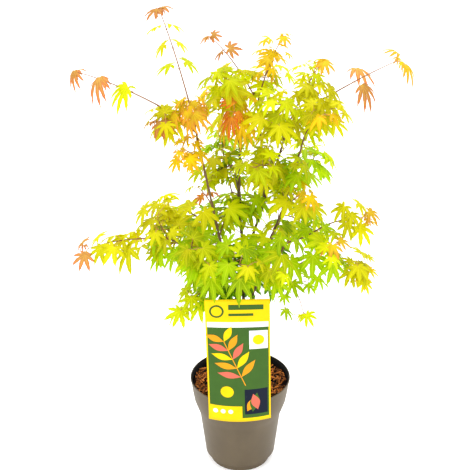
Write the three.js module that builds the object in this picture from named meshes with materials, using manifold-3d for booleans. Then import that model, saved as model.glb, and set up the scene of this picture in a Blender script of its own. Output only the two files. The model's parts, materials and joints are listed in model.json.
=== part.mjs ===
// Potted Japanese maple in spring leaf: a round nursery pot with bark mulch and a picture
// card, a short trunk that forks near the ground, slender stems and boughs, and sprays of
// palmate leaves. Millimetres, +Z up, the pot's flat foot at z = 0, the card facing -Y.
import * as THREE from "three";
import { mergeVertices } from "three/addons/utils/BufferGeometryUtils.js";
import Module from "manifold-3d";

const wasm = await Module();
wasm.setup();

// Gap kept between neighbouring pieces.
const CLEAR = 0.3;

// Pot: outside radius at a height, from the rim down the skirt and the body, then the step
// in to its narrower foot, outside and inside.
const POT_FOOT_RADIUS = 55;
const POT_WALL = 2;
const POT_FLOOR = 3;
const POT_SIDES = 32;
const POT_OUTSIDE = [
  [95, 180],
  [95, 177.5],
  [93.4, 176],
  [92, 160],
  [88, 135],
  [80.5, 113],
  [77.5, 104],
];
const POT_STEP = [
  [67, 17],
  [58, 12.5],
];
const POT_STEP_INSIDE = [
  [64.6, 18],
  [56, 13.8],
];

// Soil: radius at a height up its side, then the rings of its uneven top.
const SOIL_TOP = 166;
const SOIL_SIDE = [
  [52.6, POT_FLOOR + CLEAR],
  [55.5, 14.2],
  [64.1, 18.4],
  [75.1, 105],
  [85.5, 135],
  [89.9, SOIL_TOP - 1],
];
const SOIL_RINGS = [58, 20];
const SOIL_LEVEL_RADIUS = 21;
const SOIL_BUMP = 1.8;
const SOIL_SEED = 5;

// Picture card, a little askew, bent back at its foot and flat at its head, and the tab on
// its back that clips over the rim: its path back from the card and down inside the pot.
const CARD_WIDTH = 115;
const CARD_CENTRE_X = -3;
const CARD_FOOT = 141;
const CARD_HEAD = 398.5;
const CARD_TILT = 1.1;
const CARD_THICKNESS = 0.8;
const CARD_FRONT = 95.9;
const CARD_RADIUS = 150;
const CARD_CURVED_TOP = 200;
const CARD_COLUMNS = 8;
const CARD_ROWS = 6;
const TAB_WIDTH = 20;
const TAB_PATH = [
  [-95.7, 214],
  [-92.5, 193],
  [-89.6, 181],
  [-87.6, 168.6],
];

// Wood.
const LIMB_SIDES = 6;
const TRUNK_SIDES = 10;
const TRUNK_STEPS = 8;
const FLARE_SHARE = 0.2;
const FLARE_WIDTH = 6.5;
const TWIG_SIDES = 3;

// Growth of a spray: its stem's radius at both ends, the shares of its length that bear its
// first and last pair of leaves, how far it bows up and along its limb, and its side twigs.
const STEM_RADIUS = [1.8, 1.1];
const STEM_STEPS = 3;
const STEM_RISE = 0.06;
const STEM_LEAN = 0.12;
const FIRST_NODE = 0.34;
const LAST_NODE = 0.98;
const TURN_SCATTER = 0.35;
const TWIG_RADIUS = [0.8, 0.8];
const TWIG_SHARE = 0.4;
const TWIG_STEP = 0.05;
const TWIG_SCATTER = 0.2;

// Growth of a leaf: the way its stalk leaves the twig (along it, out of it and up), the way
// its blade faces (up, a little to the front, and out from its twig and from the trunk), how
// it hangs, how far ahead of its base it is thickest, and its size up the stem.
const STALK_ALONG = 0.6;
const STALK_OUT = 0.85;
const STALK_UP = 0.22;
const STALK_SHARE = 0.45;
const STALK_HALF = 0.6;
const STALK_RIDGE = 1.6;
const STALK_TAPER = 0.5;
const STALK_FREE_SHARE = 0.35;
const BLADE_UP = 0.8;
const BLADE_FRONT = 0.1;
const BLADE_OUTWARD = 0.42;
const OUTWARD_MIX = 0.4;
const BLADE_SCATTER = 0.3;
const BLADE_HANG = 0.3;
const BLADE_THICKNESS = 0.9;
const BLADE_KEEL = 0.02;
const BLADE_DROOP = 0.38;
const YOUNG_DROOP = 0.5;
const YOUNG_OPENING = 0.8;
const DROOP_SCATTER = 0.08;
const FOOT_LEAF = 1.15;
const TIP_LEAF = 0.75;
const SIDE_LEAF = 0.9;
const LEAF_SCATTER = 0.12;

// How far a new twig or leaf stays from what stands already.
const TOUCH_MARGIN = 0.35;

// Lobes of a leaf: angle from the middle lobe in degrees, length as a share of the leaf's
// size, and how deep the notch after the lobe reaches in, as a share of the size.
const LOBES = [
  { angle: 0, length: 1, notch: 0.36 },
  { angle: 40, length: 0.92, notch: 0.32 },
  { angle: 83, length: 0.68, notch: 0 },
];

// Leaf colours; the leaves of the young tints are still half folded.
const YOUNG_TINTS = ["coral", "orange", "red"];
const TINTS = {
  green: 0x8fbf10,
  lime: 0xb5d000,
  yellow: 0xe2dc00,
  gold: 0xf0c000,
  orange: 0xf08a30,
  coral: 0xe88a60,
  red: 0xe85a28,
};

// Limbs, parents first: name, parent and the share of its length where the limb starts, its
// bends and tip, and the radius at its foot and tip. The trunk starts at the soil.
const TRUNK_FOOT = [0, 0, SOIL_TOP + CLEAR];
const LIMBS = [
  ["trunk", null, 0, [[1, 0, 215], [3, 0, 262], [5, 0, 306]], 6.8, 5.2],
  ["stem_left", "trunk", 0.7, [[-12, -8, 384], [-29, -20, 446], [-56, -35, 590], [-83, -30, 728]], 4.2, 1.9],
  ["stem_centre", "trunk", 0.98, [[7, 5, 421], [0, 10, 513], [-1, 15, 616], [7, 20, 692]], 4.2, 1.9],
  ["stem_right", "trunk", 0.78, [[25, -10, 371], [48, -15, 459], [78, -5, 541], [112, 10, 664]], 3.9, 1.8],
  ["stem_centre_right", "stem_centre", 0.26, [[32, 17, 499], [63, 25, 600], [84, 30, 676]], 3.2, 1.8],
  ["stem_upper", "stem_centre_right", 0.45, [[40, 42, 610], [28, 60, 712]], 2.4, 1.6],
  ["stem_right_low", "stem_right", 0.24, [[43, -40, 424], [84, -70, 500]], 2.8, 1.7],
  ["bough_low_left", "stem_left", 0.47, [[-88, -55, 482], [-140, -60, 504]], 2.4, 1.5],
  ["bough_upper_left", "stem_left", 0.92, [[-112, -30, 717], [-140, -24, 730]], 1.7, 1.4],
  ["bough_upper_right", "stem_centre_right", 0.93, [[117, 22, 714], [162, 12, 738]], 1.7, 1.4],
  ["bough_right", "stem_right", 0.5, [[105, -35, 487], [152, -42, 518]], 2.1, 1.5],
  ["bough_right_low", "stem_right_low", 0.42, [[98, -62, 450], [170, -62, 452]], 2.1, 1.5],
  ["bough_front", "stem_left", 0.34, [[-30, -62, 434], [-28, -108, 472]], 2.2, 1.5],
  ["bough_back", "stem_centre", 0.4, [[-12, 62, 520], [-30, 118, 575]], 2.3, 1.5],
  ["bough_back_right", "stem_right", 0.42, [[72, 50, 480], [108, 108, 528]], 2.2, 1.5],
  ["bough_back_left", "stem_left", 0.5, [[-62, 30, 486], [-106, 86, 490]], 2.1, 1.5],
];

// Sprays: name, limb and the share of its length where the spray starts, the tip it
// reaches, its leaf pairs and side twigs, its leaves' size and tint, and its seed.
const SPRAYS = [
  ["top_left", "stem_left", 1, [-132, 0, 884], 4, 0, 34, "yellow", 11],
  ["left_whip", "bough_upper_left", 0.68, [-272, 0, 780], 3, 0, 44, "coral", 12],
  ["left_shoulder", "bough_upper_left", 0.25, [-132, -54, 712], 3, 1, 38, "yellow", 13],
  ["left_crest", "stem_left", 0.97, [-88, -56, 738], 2, 1, 38, "orange", 14],
  ["upper_coral", "stem_upper", 1, [-50, 36, 830], 3, 0, 26, "gold", 15],
  ["upper_whip", "stem_upper", 0.95, [72, 60, 822], 3, 1, 29, "gold", 16],
  ["upper_back", "stem_upper", 0.8, [56, 138, 742], 3, 1, 42, "lime", 17],
  ["red_crest", "stem_centre", 0.97, [-10, -36, 722], 2, 1, 42, "red", 18],
  ["top_green", "stem_centre", 1, [-42, 2, 770], 3, 1, 46, "lime", 19],
  ["top_middle", "stem_centre_right", 0.88, [66, -40, 738], 3, 1, 44, "lime", 20],
  ["upper_right", "stem_centre_right", 1, [138, 24, 790], 3, 1, 34, "lime", 21],
  ["right_top", "bough_upper_right", 0.5, [142, -50, 722], 3, 1, 40, "yellow", 22],
  ["right_whip", "bough_upper_right", 0.85, [262, 0, 800], 2, 0, 42, "coral", 23],
  ["right_shoulder", "stem_right", 0.82, [102, -32, 628], 2, 1, 36, "lime", 24],
  ["right_crown", "stem_right", 1, [134, 60, 676], 2, 1, 40, "lime", 25],
  ["right_middle", "stem_right", 0.7, [112, -52, 584], 2, 1, 38, "yellow", 26],
  ["right_arm", "bough_right", 1, [216, -42, 532], 2, 1, 38, "yellow", 27],
  ["right_arm_low", "bough_right_low", 0.55, [160, -100, 506], 3, 1, 40, "lime", 28],
  ["right_droop", "bough_right_low", 1, [216, -70, 436], 3, 1, 34, "yellow", 29],
  ["right_foot", "bough_right_low", 0.3, [112, -92, 368], 2, 1, 30, "lime", 30],
  ["front_right", "stem_right_low", 0.8, [62, -146, 480], 3, 1, 42, "lime", 31],
  ["front_middle", "bough_front", 1, [14, -150, 492], 3, 1, 42, "lime", 32],
  ["front_low", "bough_front", 0.7, [-56, -128, 486], 3, 1, 40, "lime", 33],
  ["left_front", "bough_low_left", 0.45, [-80, -118, 506], 3, 1, 44, "lime", 34],
  ["left_foot", "stem_left", 0.3, [-104, -62, 358], 3, 1, 44, "lime", 35],
  ["left_arm", "bough_low_left", 0.85, [-266, -60, 480], 4, 0, 42, "yellow", 36],
  ["left_arm_low", "bough_low_left", 0.62, [-146, -36, 472], 2, 1, 36, "lime", 37],
  ["left_middle", "stem_left", 0.54, [-144, -62, 518], 3, 1, 40, "yellow", 38],
  ["left_high", "stem_left", 0.82, [-98, -66, 668], 2, 1, 28, "gold", 39],
  ["left_thin", "stem_left", 0.68, [-76, 24, 560], 2, 0, 26, "yellow", 40],
  ["centre_left", "stem_centre", 0.72, [-44, 44, 582], 3, 1, 42, "lime", 41],
  ["centre_right", "stem_centre_right", 0.62, [24, -70, 636], 3, 1, 38, "lime", 42],
  ["centre_low", "stem_right", 0.38, [60, -44, 508], 3, 1, 38, "lime", 43],
  ["back_low", "bough_back", 0.6, [14, 150, 458], 3, 1, 44, "green", 44],
  ["back_middle", "bough_back", 1, [-34, 186, 592], 3, 1, 44, "lime", 45],
  ["back_right", "bough_back_right", 1, [146, 166, 570], 3, 1, 44, "lime", 46],
  ["back_right_low", "bough_back_right", 0.6, [142, 60, 452], 3, 1, 42, "lime", 47],
  ["back_left", "bough_back_left", 1, [-140, 128, 446], 3, 1, 42, "yellow", 48],
  ["back_left_low", "bough_back_left", 0.5, [-96, 90, 440], 3, 1, 44, "green", 49],
  ["back_high", "stem_centre", 0.82, [-50, 118, 706], 3, 1, 44, "yellow", 50],
  ["centre_front", "stem_left", 0.58, [-12, 28, 528], 3, 1, 44, "lime", 51],
];

function vector(point) {
  return new THREE.Vector3(point[0], point[1], point[2]);
}

// Repeatable random numbers from 0 to 1.
function dice(seed) {
  let state = seed >>> 0;
  return () => {
    state = (state + 0x6d2b79f5) >>> 0;
    let mixed = Math.imul(state ^ (state >>> 15), state | 1);
    mixed ^= mixed + Math.imul(mixed ^ (mixed >>> 7), mixed | 61);
    return ((mixed ^ (mixed >>> 14)) >>> 0) / 4294967296;
  };
}

// A random number from -size to size.
function spread(roll, size) {
  return (2 * roll() - 1) * size;
}

// A solid from loose corners and faces that share them.
function solidFrom(corners, faces) {
  const mesh = new wasm.Mesh({
    numProp: 3,
    vertProperties: new Float32Array(corners.flatMap((corner) => [corner.x, corner.y, corner.z])),
    triVerts: new Uint32Array(faces.flat()),
  });
  return new wasm.Manifold(mesh);
}

// A solid from a closed geometry.
function solidOf(geometry) {
  geometry.deleteAttribute("normal");
  geometry.deleteAttribute("uv");
  const merged = mergeVertices(geometry, 1e-4);
  const mesh = new wasm.Mesh({
    numProp: 3,
    vertProperties: new Float32Array(merged.attributes.position.array),
    triVerts: new Uint32Array(merged.index.array),
  });
  return new wasm.Manifold(mesh);
}

// A named mesh from a solid.
function meshOf(name, solid, material) {
  const { vertProperties, triVerts } = solid.getMesh();
  const geometry = new THREE.BufferGeometry();
  geometry.setAttribute("position", new THREE.BufferAttribute(new Float32Array(vertProperties), 3));
  geometry.setIndex(new THREE.BufferAttribute(new Uint32Array(triVerts), 1));
  geometry.computeVertexNormals();
  const mesh = new THREE.Mesh(geometry, material);
  mesh.name = name;
  return mesh;
}

// A tapering bar with flat ends along a curve, carried on past both ends by an overrun.
function bar(curve, radiusAt, sides, steps, overrun = 0) {
  const chord = curve.getPoint(1).sub(curve.getPoint(0)).normalize();
  const guide = Math.abs(chord.z) > 0.75 ? new THREE.Vector3(0, 1, 0) : new THREE.Vector3(0, 0, 1);
  const corners = [];
  for (let ring = 0; ring <= steps; ring++) {
    const share = ring / steps;
    const centre = curve.getPoint(share);
    const along = curve.getTangent(share);
    const across = new THREE.Vector3().crossVectors(along, guide).normalize();
    const upward = new THREE.Vector3().crossVectors(across, along);
    centre.addScaledVector(along, overrun * (Number(ring === steps) - Number(ring === 0)));
    for (let side = 0; side < sides; side++) {
      const angle = (2 * Math.PI * side) / sides;
      const radius = radiusAt(share, angle);
      const corner = centre.clone();
      corner.addScaledVector(across, radius * Math.cos(angle));
      corner.addScaledVector(upward, radius * Math.sin(angle));
      corners.push(corner);
    }
  }
  const faces = [];
  for (let ring = 0; ring < steps; ring++) {
    for (let side = 0; side < sides; side++) {
      const next = (side + 1) % sides;
      const low = ring * sides;
      const high = low + sides;
      faces.push([low + side, high + side, high + next]);
      faces.push([low + side, high + next, low + next]);
    }
  }
  const last = steps * sides;
  for (let side = 1; side < sides - 1; side++) {
    faces.push([0, side, side + 1]);
    faces.push([last, last + side + 1, last + side]);
  }
  return solidFrom(corners, faces);
}

// The middle of a bar at a share of its length, on the straight run between two rings.
function middleOf(curve, steps, share) {
  const ring = Math.min(Math.floor(share * steps), steps - 1);
  const low = curve.getPoint(ring / steps);
  return low.lerp(curve.getPoint((ring + 1) / steps), share * steps - ring);
}

// The smooth path of a limb through its foot, bends and tip.
function limbPath(points) {
  return new THREE.CatmullRomCurve3(points, false, "catmullrom", 0.5);
}

// The radius of a limb at a share of its length; the trunk flares out at its foot.
function limbRadius(limb, margin) {
  return (share, angle) => {
    const plain = limb.thick + (limb.thin - limb.thick) * share + margin;
    if (limb.parent) {
      return plain;
    }
    const fade = Math.max(0, 1 - share / FLARE_SHARE);
    const buttress = 0.75 + 0.25 * Math.cos(5 * angle);
    return plain + FLARE_WIDTH * fade * fade * buttress;
  };
}

// All limbs, each cut back from the ones before it so that it sits against its parent.
function growLimbs() {
  const limbs = {};
  for (const [name, parent, share, bends, thick, thin] of LIMBS) {
    const foot = parent ? limbs[parent].path.getPoint(share) : vector(TRUNK_FOOT);
    const path = limbPath([foot, ...bends.map(vector)]);
    const limb = { name, parent, path, thick, thin };
    const sides = parent ? LIMB_SIDES : TRUNK_SIDES;
    const steps = parent ? 2 * bends.length + 1 : TRUNK_STEPS;
    const gap = CLEAR / Math.cos(Math.PI / sides);
    limb.around = bar(path, limbRadius(limb, gap), sides, steps, CLEAR);
    limb.solid = bar(path, limbRadius(limb, 0), sides, steps);
    for (const earlier of Object.values(limbs)) {
      limb.solid = limb.solid.subtract(earlier.around);
    }
    limb.solid = largestPiece(limb.solid);
    limbs[name] = limb;
  }
  return limbs;
}

function largestPiece(solid) {
  const pieces = solid.decompose();
  pieces.sort((one, other) => other.volume() - one.volume());
  return pieces[0];
}

// Corner of a leaf at an angle from its middle lobe and a distance from its base.
function leafCorner(leaf, angle, distance) {
  const share = distance / leaf.size;
  const radians = (angle * leaf.opening * Math.PI) / 180;
  const corner = leaf.base.clone();
  corner.addScaledVector(leaf.side, distance * Math.sin(radians));
  corner.addScaledVector(leaf.forward, distance * Math.cos(radians));
  corner.addScaledVector(leaf.normal, -leaf.droop * leaf.size * share * share);
  return corner;
}

// A leaf as one closed solid: a star of lobes round a thicker middle, on its stalk.
function leafSolid(leaf, margin) {
  const outline = [];
  for (let index = 1 - LOBES.length; index < LOBES.length; index++) {
    const lobe = LOBES[Math.abs(index)];
    const angle = Math.sign(index) * lobe.angle;
    outline.push(leafCorner(leaf, angle, lobe.length * leaf.size + 3 * margin));
    if (index < LOBES.length - 1) {
      const next = LOBES[Math.abs(index + 1)];
      const notch = Math.max(lobe.notch, next.notch) * leaf.size + margin;
      outline.push(leafCorner(leaf, (angle + Math.sign(index + 1) * next.angle) / 2, notch));
    }
  }
  const half = STALK_HALF + margin;
  const bend = leaf.stalk.clone().add(leaf.forward).normalize();
  const rise = new THREE.Vector3().crossVectors(leaf.side, bend).normalize();
  const left = leaf.base.clone().addScaledVector(leaf.side, -half);
  const right = leaf.base.clone().addScaledVector(leaf.side, half);
  const ridge = leaf.base.clone().addScaledVector(rise, STALK_RIDGE * half);
  const rootEnd = [ridge, left, right].map((corner) => {
    return corner.clone().sub(leaf.base).multiplyScalar(STALK_TAPER).add(leaf.root);
  });
  const bottom = leaf.base.clone().addScaledVector(leaf.forward, BLADE_KEEL * leaf.size);
  bottom.addScaledVector(leaf.normal, -BLADE_THICKNESS - margin);
  const corners = [left, ...outline, right, ridge, ...rootEnd, bottom];
  const rightAt = outline.length + 1;
  const ridgeAt = rightAt + 1;
  const [rootRidge, rootLeft, rootRight, bottomAt] = [1, 2, 3, 4].map((step) => ridgeAt + step);
  const faces = [];
  for (let index = 0; index < rightAt; index++) {
    faces.push([ridgeAt, index + 1, index]);
    faces.push([bottomAt, index, index + 1]);
  }
  faces.push([bottomAt, rightAt, 0]);
  const stalkSides = [
    [rightAt, ridgeAt, rootRidge, rootRight],
    [ridgeAt, 0, rootLeft, rootRidge],
    [0, rightAt, rootRight, rootLeft],
  ];
  for (const [one, two, three, four] of stalkSides) {
    faces.push([one, two, three]);
    faces.push([one, three, four]);
  }
  faces.push([rootRight, rootRidge, rootLeft]);
  return solidFrom(corners, faces);
}

// A leaf's frame: its stalk leaves the twig, and its blade hangs from the stalk's end.
function placeLeaf(root, stalk, size, young, roll) {
  const length = size * (STALK_SHARE + spread(roll, LEAF_SCATTER));
  const base = root.clone().addScaledVector(stalk, length);
  const outward = new THREE.Vector3(base.x, base.y, 0).setLength(OUTWARD_MIX);
  outward.x += stalk.x;
  outward.y += stalk.y;
  outward.normalize();
  const normal = new THREE.Vector3(0, -BLADE_FRONT, BLADE_UP).addScaledVector(outward, BLADE_OUTWARD);
  normal.x += spread(roll, BLADE_SCATTER);
  normal.y += spread(roll, BLADE_SCATTER);
  normal.normalize();
  const hang = stalk.clone();
  hang.z -= BLADE_HANG;
  const forward = hang.addScaledVector(normal, -hang.dot(normal)).normalize();
  const side = new THREE.Vector3().crossVectors(forward, normal).normalize();
  const opening = young ? YOUNG_OPENING : 1;
  const droop = (young ? YOUNG_DROOP : BLADE_DROOP) + DROOP_SCATTER * roll();
  return { root, base, stalk, forward, side, normal, size, opening, droop };
}

// The way a leaf stalk or side twig leaves a twig, turned about the twig by an angle.
function stalkDirection(along, angle, way) {
  const guide = Math.abs(along.z) > 0.9 ? new THREE.Vector3(0, 1, 0) : new THREE.Vector3(0, 0, 1);
  const across = new THREE.Vector3().crossVectors(along, guide).normalize();
  const upward = new THREE.Vector3().crossVectors(across, along);
  const direction = along.clone().multiplyScalar(STALK_ALONG);
  direction.addScaledVector(across, STALK_OUT * way * Math.cos(angle));
  direction.addScaledVector(upward, STALK_OUT * way * Math.sin(angle));
  direction.z += STALK_UP;
  return direction.normalize();
}

// Two opposite leaves at a point of a twig.
function leafPair(point, along, angle, size, young, roll) {
  return [1, -1].map((way) => {
    const stalk = stalkDirection(along, angle, way);
    return placeLeaf(point.clone(), stalk, size * (1 + spread(roll, LEAF_SCATTER)), young, roll);
  });
}

// One spray: its stem and its side twigs, each with the places of its leaves. Pairs follow
// each other up the stem a quarter turn apart, on a bare shoot all one way, and a side twig
// grows just above a leaf.
function growSpray([name, limb, at, reach, pairs, branches, leafSize, tint, seed], limbs) {
  const roll = dice(seed);
  const young = YOUNG_TINTS.includes(tint);
  const path = limbs[limb].path;
  const foot = path.getPoint(at);
  const tip = vector(reach);
  const length = foot.distanceTo(tip);
  const knee = foot.clone().lerp(tip, 0.45).addScaledVector(path.getTangent(at), STEM_LEAN * length);
  knee.z += STEM_RISE * length;
  const curve = new THREE.QuadraticBezierCurve3(foot, knee, tip);
  const stem = { curve, radius: STEM_RADIUS, steps: STEM_STEPS, leaves: [] };
  const twigs = [stem];
  const turn = spread(roll, 2 * TURN_SCATTER);
  const quarter = branches ? Math.PI / 2 : 0;
  for (let node = 0; node < pairs; node++) {
    const share = THREE.MathUtils.lerp(FIRST_NODE, LAST_NODE, node / (pairs - 1));
    const along = curve.getTangent(share);
    const angle = turn + node * quarter + spread(roll, TURN_SCATTER);
    const size = leafSize * THREE.MathUtils.lerp(FOOT_LEAF, TIP_LEAF, share);
    stem.leaves.push(...leafPair(middleOf(curve, STEM_STEPS, share), along, angle, size, young, roll));
    if (node >= branches) {
      continue;
    }
    const joint = middleOf(curve, STEM_STEPS, share + TWIG_STEP);
    for (const way of [1, -1]) {
      const out = stalkDirection(along, angle + Math.PI / 2, way);
      const twigLength = length * TWIG_SHARE * (1 + spread(roll, TWIG_SCATTER));
      const end = joint.clone().addScaledVector(out, twigLength);
      const bud = joint.clone().lerp(end, LAST_NODE);
      const leaves = leafPair(bud, out, angle, SIDE_LEAF * size, young, roll);
      twigs.push({ curve: new THREE.LineCurve3(joint, end), radius: TWIG_RADIUS, steps: 1, leaves });
    }
  }
  return { name, limb, tint, twigs };
}

function twigSolid(twig, margin) {
  const [thick, thin] = twig.radius;
  const radiusAt = (share) => thick + (thin - thick) * share + margin;
  return bar(twig.curve, radiusAt, TWIG_SIDES, twig.steps);
}

function boxOf(solid) {
  const { min, max } = solid.boundingBox();
  return new THREE.Box3(vector(min), vector(max));
}

// All solids placed so far, and whether a new one would touch its own node's or the others'.
class Placed {
  constructor() {
    this.items = [];
  }

  add(solid, owner) {
    this.items.push({ solid, owner, box: boxOf(solid) });
  }

  touches(solid, owner, own) {
    const box = boxOf(solid);
    return this.items.some((item) => {
      const near = (item.owner === owner) === own && item.box.intersectsBox(box);
      return near && !item.solid.intersect(solid).isEmpty();
    });
  }
}

// All sprays as solids: first the stems and side twigs, then each leaf. A side twig or leaf
// that would touch anything placed before it is left out.
function growSprays(limbs, pieces) {
  const placed = new Placed();
  for (const [name, solid] of Object.entries(pieces)) {
    placed.add(solid, name);
  }
  for (const limb of Object.values(limbs)) {
    placed.add(limb.solid, limb.name);
  }
  const sprays = SPRAYS.map((row) => growSpray(row, limbs));
  for (const spray of sprays) {
    const around = limbs[spray.limb].around;
    spray.twigs = spray.twigs.filter((twig) => {
      const test = twigSolid(twig, TOUCH_MARGIN).subtract(around);
      return !placed.touches(test, spray.name, false);
    });
    spray.solids = spray.twigs.map((twig) => twigSolid(twig, 0));
    spray.solids.forEach((solid) => placed.add(solid, spray.name));
  }
  for (const spray of sprays) {
    for (const leaf of spray.twigs.flatMap((twig) => twig.leaves)) {
      const outer = { ...leaf, root: leaf.root.clone().lerp(leaf.base, STALK_FREE_SHARE) };
      const clear = !placed.touches(leafSolid(leaf, TOUCH_MARGIN), spray.name, false);
      if (clear && !placed.touches(leafSolid(outer, TOUCH_MARGIN), spray.name, true)) {
        const solid = leafSolid(leaf, 0);
        placed.add(solid, spray.name);
        spray.solids.push(solid);
      }
    }
    spray.solid = spray.solids.reduce((one, other) => one.add(other)).subtract(limbs[spray.limb].around);
  }
  return sprays;
}

// The pot's wall as a closed outline turned about its axis.
function potSolid() {
  const outside = [[POT_FOOT_RADIUS, 0], ...[...POT_OUTSIDE, ...POT_STEP].reverse()];
  const inside = POT_OUTSIDE.map(([radius, height]) => [radius - POT_WALL, height]);
  const floor = [[POT_FOOT_RADIUS - POT_WALL, POT_FLOOR], [0, POT_FLOOR]];
  const outline = [[0, 0], ...outside, ...inside, ...POT_STEP_INSIDE, ...floor];
  const lathe = new THREE.LatheGeometry(outline.map((point) => new THREE.Vector2(...point)), POT_SIDES);
  lathe.rotateX(Math.PI / 2);
  return solidOf(lathe);
}

// The soil in the pot, level round the trunk and uneven out to the wall.
function soilSolid() {
  const side = SOIL_SIDE.map(([radius, height]) => new THREE.Vector2(radius, height));
  const rings = SOIL_RINGS.map((radius) => new THREE.Vector2(radius, SOIL_TOP));
  const foot = new THREE.Vector2(0, POT_FLOOR + CLEAR);
  const middle = new THREE.Vector2(0, SOIL_TOP);
  const lathe = new THREE.LatheGeometry([foot, ...side, ...rings, middle], POT_SIDES);
  lathe.rotateX(Math.PI / 2);
  lathe.deleteAttribute("normal");
  lathe.deleteAttribute("uv");
  const merged = mergeVertices(lathe, 1e-3);
  const corners = merged.attributes.position;
  const roll = dice(SOIL_SEED);
  for (let index = 0; index < corners.count; index++) {
    const radius = Math.hypot(corners.getX(index), corners.getY(index));
    if (corners.getZ(index) > SOIL_TOP - 2 && radius > SOIL_LEVEL_RADIUS) {
      corners.setZ(index, corners.getZ(index) + spread(roll, SOIL_BUMP));
    }
  }
  return solidOf(merged);
}

// The middle of the card's sheet at a place across and up it.
function cardDepth(x, z) {
  const curve = THREE.MathUtils.clamp((CARD_HEAD - z) / (CARD_HEAD - CARD_CURVED_TOP), 0, 1);
  const bend = CARD_RADIUS - Math.sqrt(CARD_RADIUS * CARD_RADIUS - x * x);
  return curve * bend - CARD_FRONT;
}

// The card's bent sheet and its tab.
function cardSolid() {
  const height = CARD_HEAD - CARD_FOOT;
  const sheet = new THREE.BoxGeometry(CARD_WIDTH, CARD_THICKNESS, height, CARD_COLUMNS, 1, CARD_ROWS);
  sheet.rotateY((-CARD_TILT * Math.PI) / 180);
  sheet.translate(CARD_CENTRE_X, 0, CARD_FOOT + height / 2);
  const corners = sheet.attributes.position;
  for (let index = 0; index < corners.count; index++) {
    corners.setY(index, corners.getY(index) + cardDepth(corners.getX(index), corners.getZ(index)));
  }
  const half = CARD_THICKNESS / 2;
  const front = TAB_PATH.map(([y, z]) => new THREE.Vector2(y - half, z));
  const back = TAB_PATH.map(([y, z]) => new THREE.Vector2(y + half, z)).reverse();
  const section = new THREE.Shape([...front, ...back]);
  const tab = new THREE.ExtrudeGeometry(section, { depth: TAB_WIDTH, bevelEnabled: false });
  tab.rotateX(Math.PI / 2);
  tab.rotateZ(Math.PI / 2);
  tab.translate(CARD_CENTRE_X - TAB_WIDTH / 2, 0, 0);
  return solidOf(sheet).add(solidOf(tab));
}

// A material without metal.
function finish(color, roughness) {
  return new THREE.MeshStandardMaterial({ color, roughness, metalness: 0 });
}

// The planter and the plant that grows from it.
const pieces = { pot: potSolid(), soil: soilSolid(), card: cardSolid() };
const planter = new THREE.Group();
planter.add(meshOf("pot", pieces.pot, finish(0x7d7061, 0.55)));
planter.add(meshOf("soil", pieces.soil, finish(0x6e4426, 0.95)));
planter.add(meshOf("card", pieces.card, finish(0x3c7a3c, 0.4)));

const limbs = growLimbs();
const wood = new THREE.Group();
for (const limb of Object.values(limbs)) {
  wood.add(meshOf(limb.name, limb.solid, finish(0x6b5a35, 0.8)));
}

const foliage = new THREE.Group();
for (const spray of growSprays(limbs, pieces)) {
  foliage.add(meshOf(`spray_${spray.name}`, largestPiece(spray.solid), finish(TINTS[spray.tint], 0.6)));
}

const group = new THREE.Group();
group.add(planter, wood, foliage);

export default group;
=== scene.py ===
"""Potted Japanese maple in spring leaf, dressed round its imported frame.

The limbs and sprays grow from the same named sizes and by the same seeded rule as the
frame's source. Here the rule is carried on to finer twigs, leaf stalks and leaves with
toothed lobes. Growth is worked out in millimetres, and meshes are in metres.
"""

import json
import math

import bpy
import numpy as np
from bpy.props import FloatProperty, FloatVectorProperty, IntProperty, PointerProperty
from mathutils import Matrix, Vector

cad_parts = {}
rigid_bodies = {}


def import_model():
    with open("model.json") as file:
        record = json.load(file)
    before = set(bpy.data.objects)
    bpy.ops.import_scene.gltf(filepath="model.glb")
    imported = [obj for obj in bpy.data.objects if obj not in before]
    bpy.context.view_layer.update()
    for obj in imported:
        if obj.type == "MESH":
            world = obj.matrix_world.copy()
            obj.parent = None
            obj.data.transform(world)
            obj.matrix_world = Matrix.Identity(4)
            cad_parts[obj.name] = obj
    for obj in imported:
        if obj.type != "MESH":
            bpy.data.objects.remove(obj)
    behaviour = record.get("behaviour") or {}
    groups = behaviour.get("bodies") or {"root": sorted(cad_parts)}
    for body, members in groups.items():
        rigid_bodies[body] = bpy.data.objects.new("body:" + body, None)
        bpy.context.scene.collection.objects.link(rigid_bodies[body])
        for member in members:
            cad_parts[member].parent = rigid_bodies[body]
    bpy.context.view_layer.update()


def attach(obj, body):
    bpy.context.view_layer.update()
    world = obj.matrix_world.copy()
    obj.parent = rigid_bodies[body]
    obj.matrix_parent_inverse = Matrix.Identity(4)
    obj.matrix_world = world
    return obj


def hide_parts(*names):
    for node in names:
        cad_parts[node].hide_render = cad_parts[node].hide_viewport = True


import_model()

bl_info = {
    "name": "Potted maple",
    "version": (1, 0, 0),
    "blender": (4, 5, 0),
    "location": "View3D > Sidebar > Maple",
    "description": "A potted Japanese maple in spring leaf, with its mulch and picture card",
    "category": "Add Mesh",
}

MM = 0.001
WORD = 0xFFFFFFFF

# Pot: its foot, wall and softened edges, then the radius at a height: of the step above the
# foot, of the same inside, and of the outside up to the rim.
POT_FOOT_RADIUS = 57.5
POT_WALL = 2
POT_FLOOR = 3
POT_EDGE = 0.5
POT_EDGE_STEPS = 3
POT_EDGE_ANGLE = math.radians(15)
POT_STEP = [(58, 12.5), (67, 17)]
POT_STEP_INSIDE = [(64.6, 18), (55.8, 13.8)]
POT_OUTSIDE = [
    (77.5, 104),
    (80.5, 113),
    (88, 135),
    (92, 160),
    (93.4, 176),
    (95, 177.5),
    (95, 180),
]

# Soil.
SOIL_TOP = 166
SOIL_RADIUS = 89.6
TRUNK_CLEAR = 9

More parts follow.
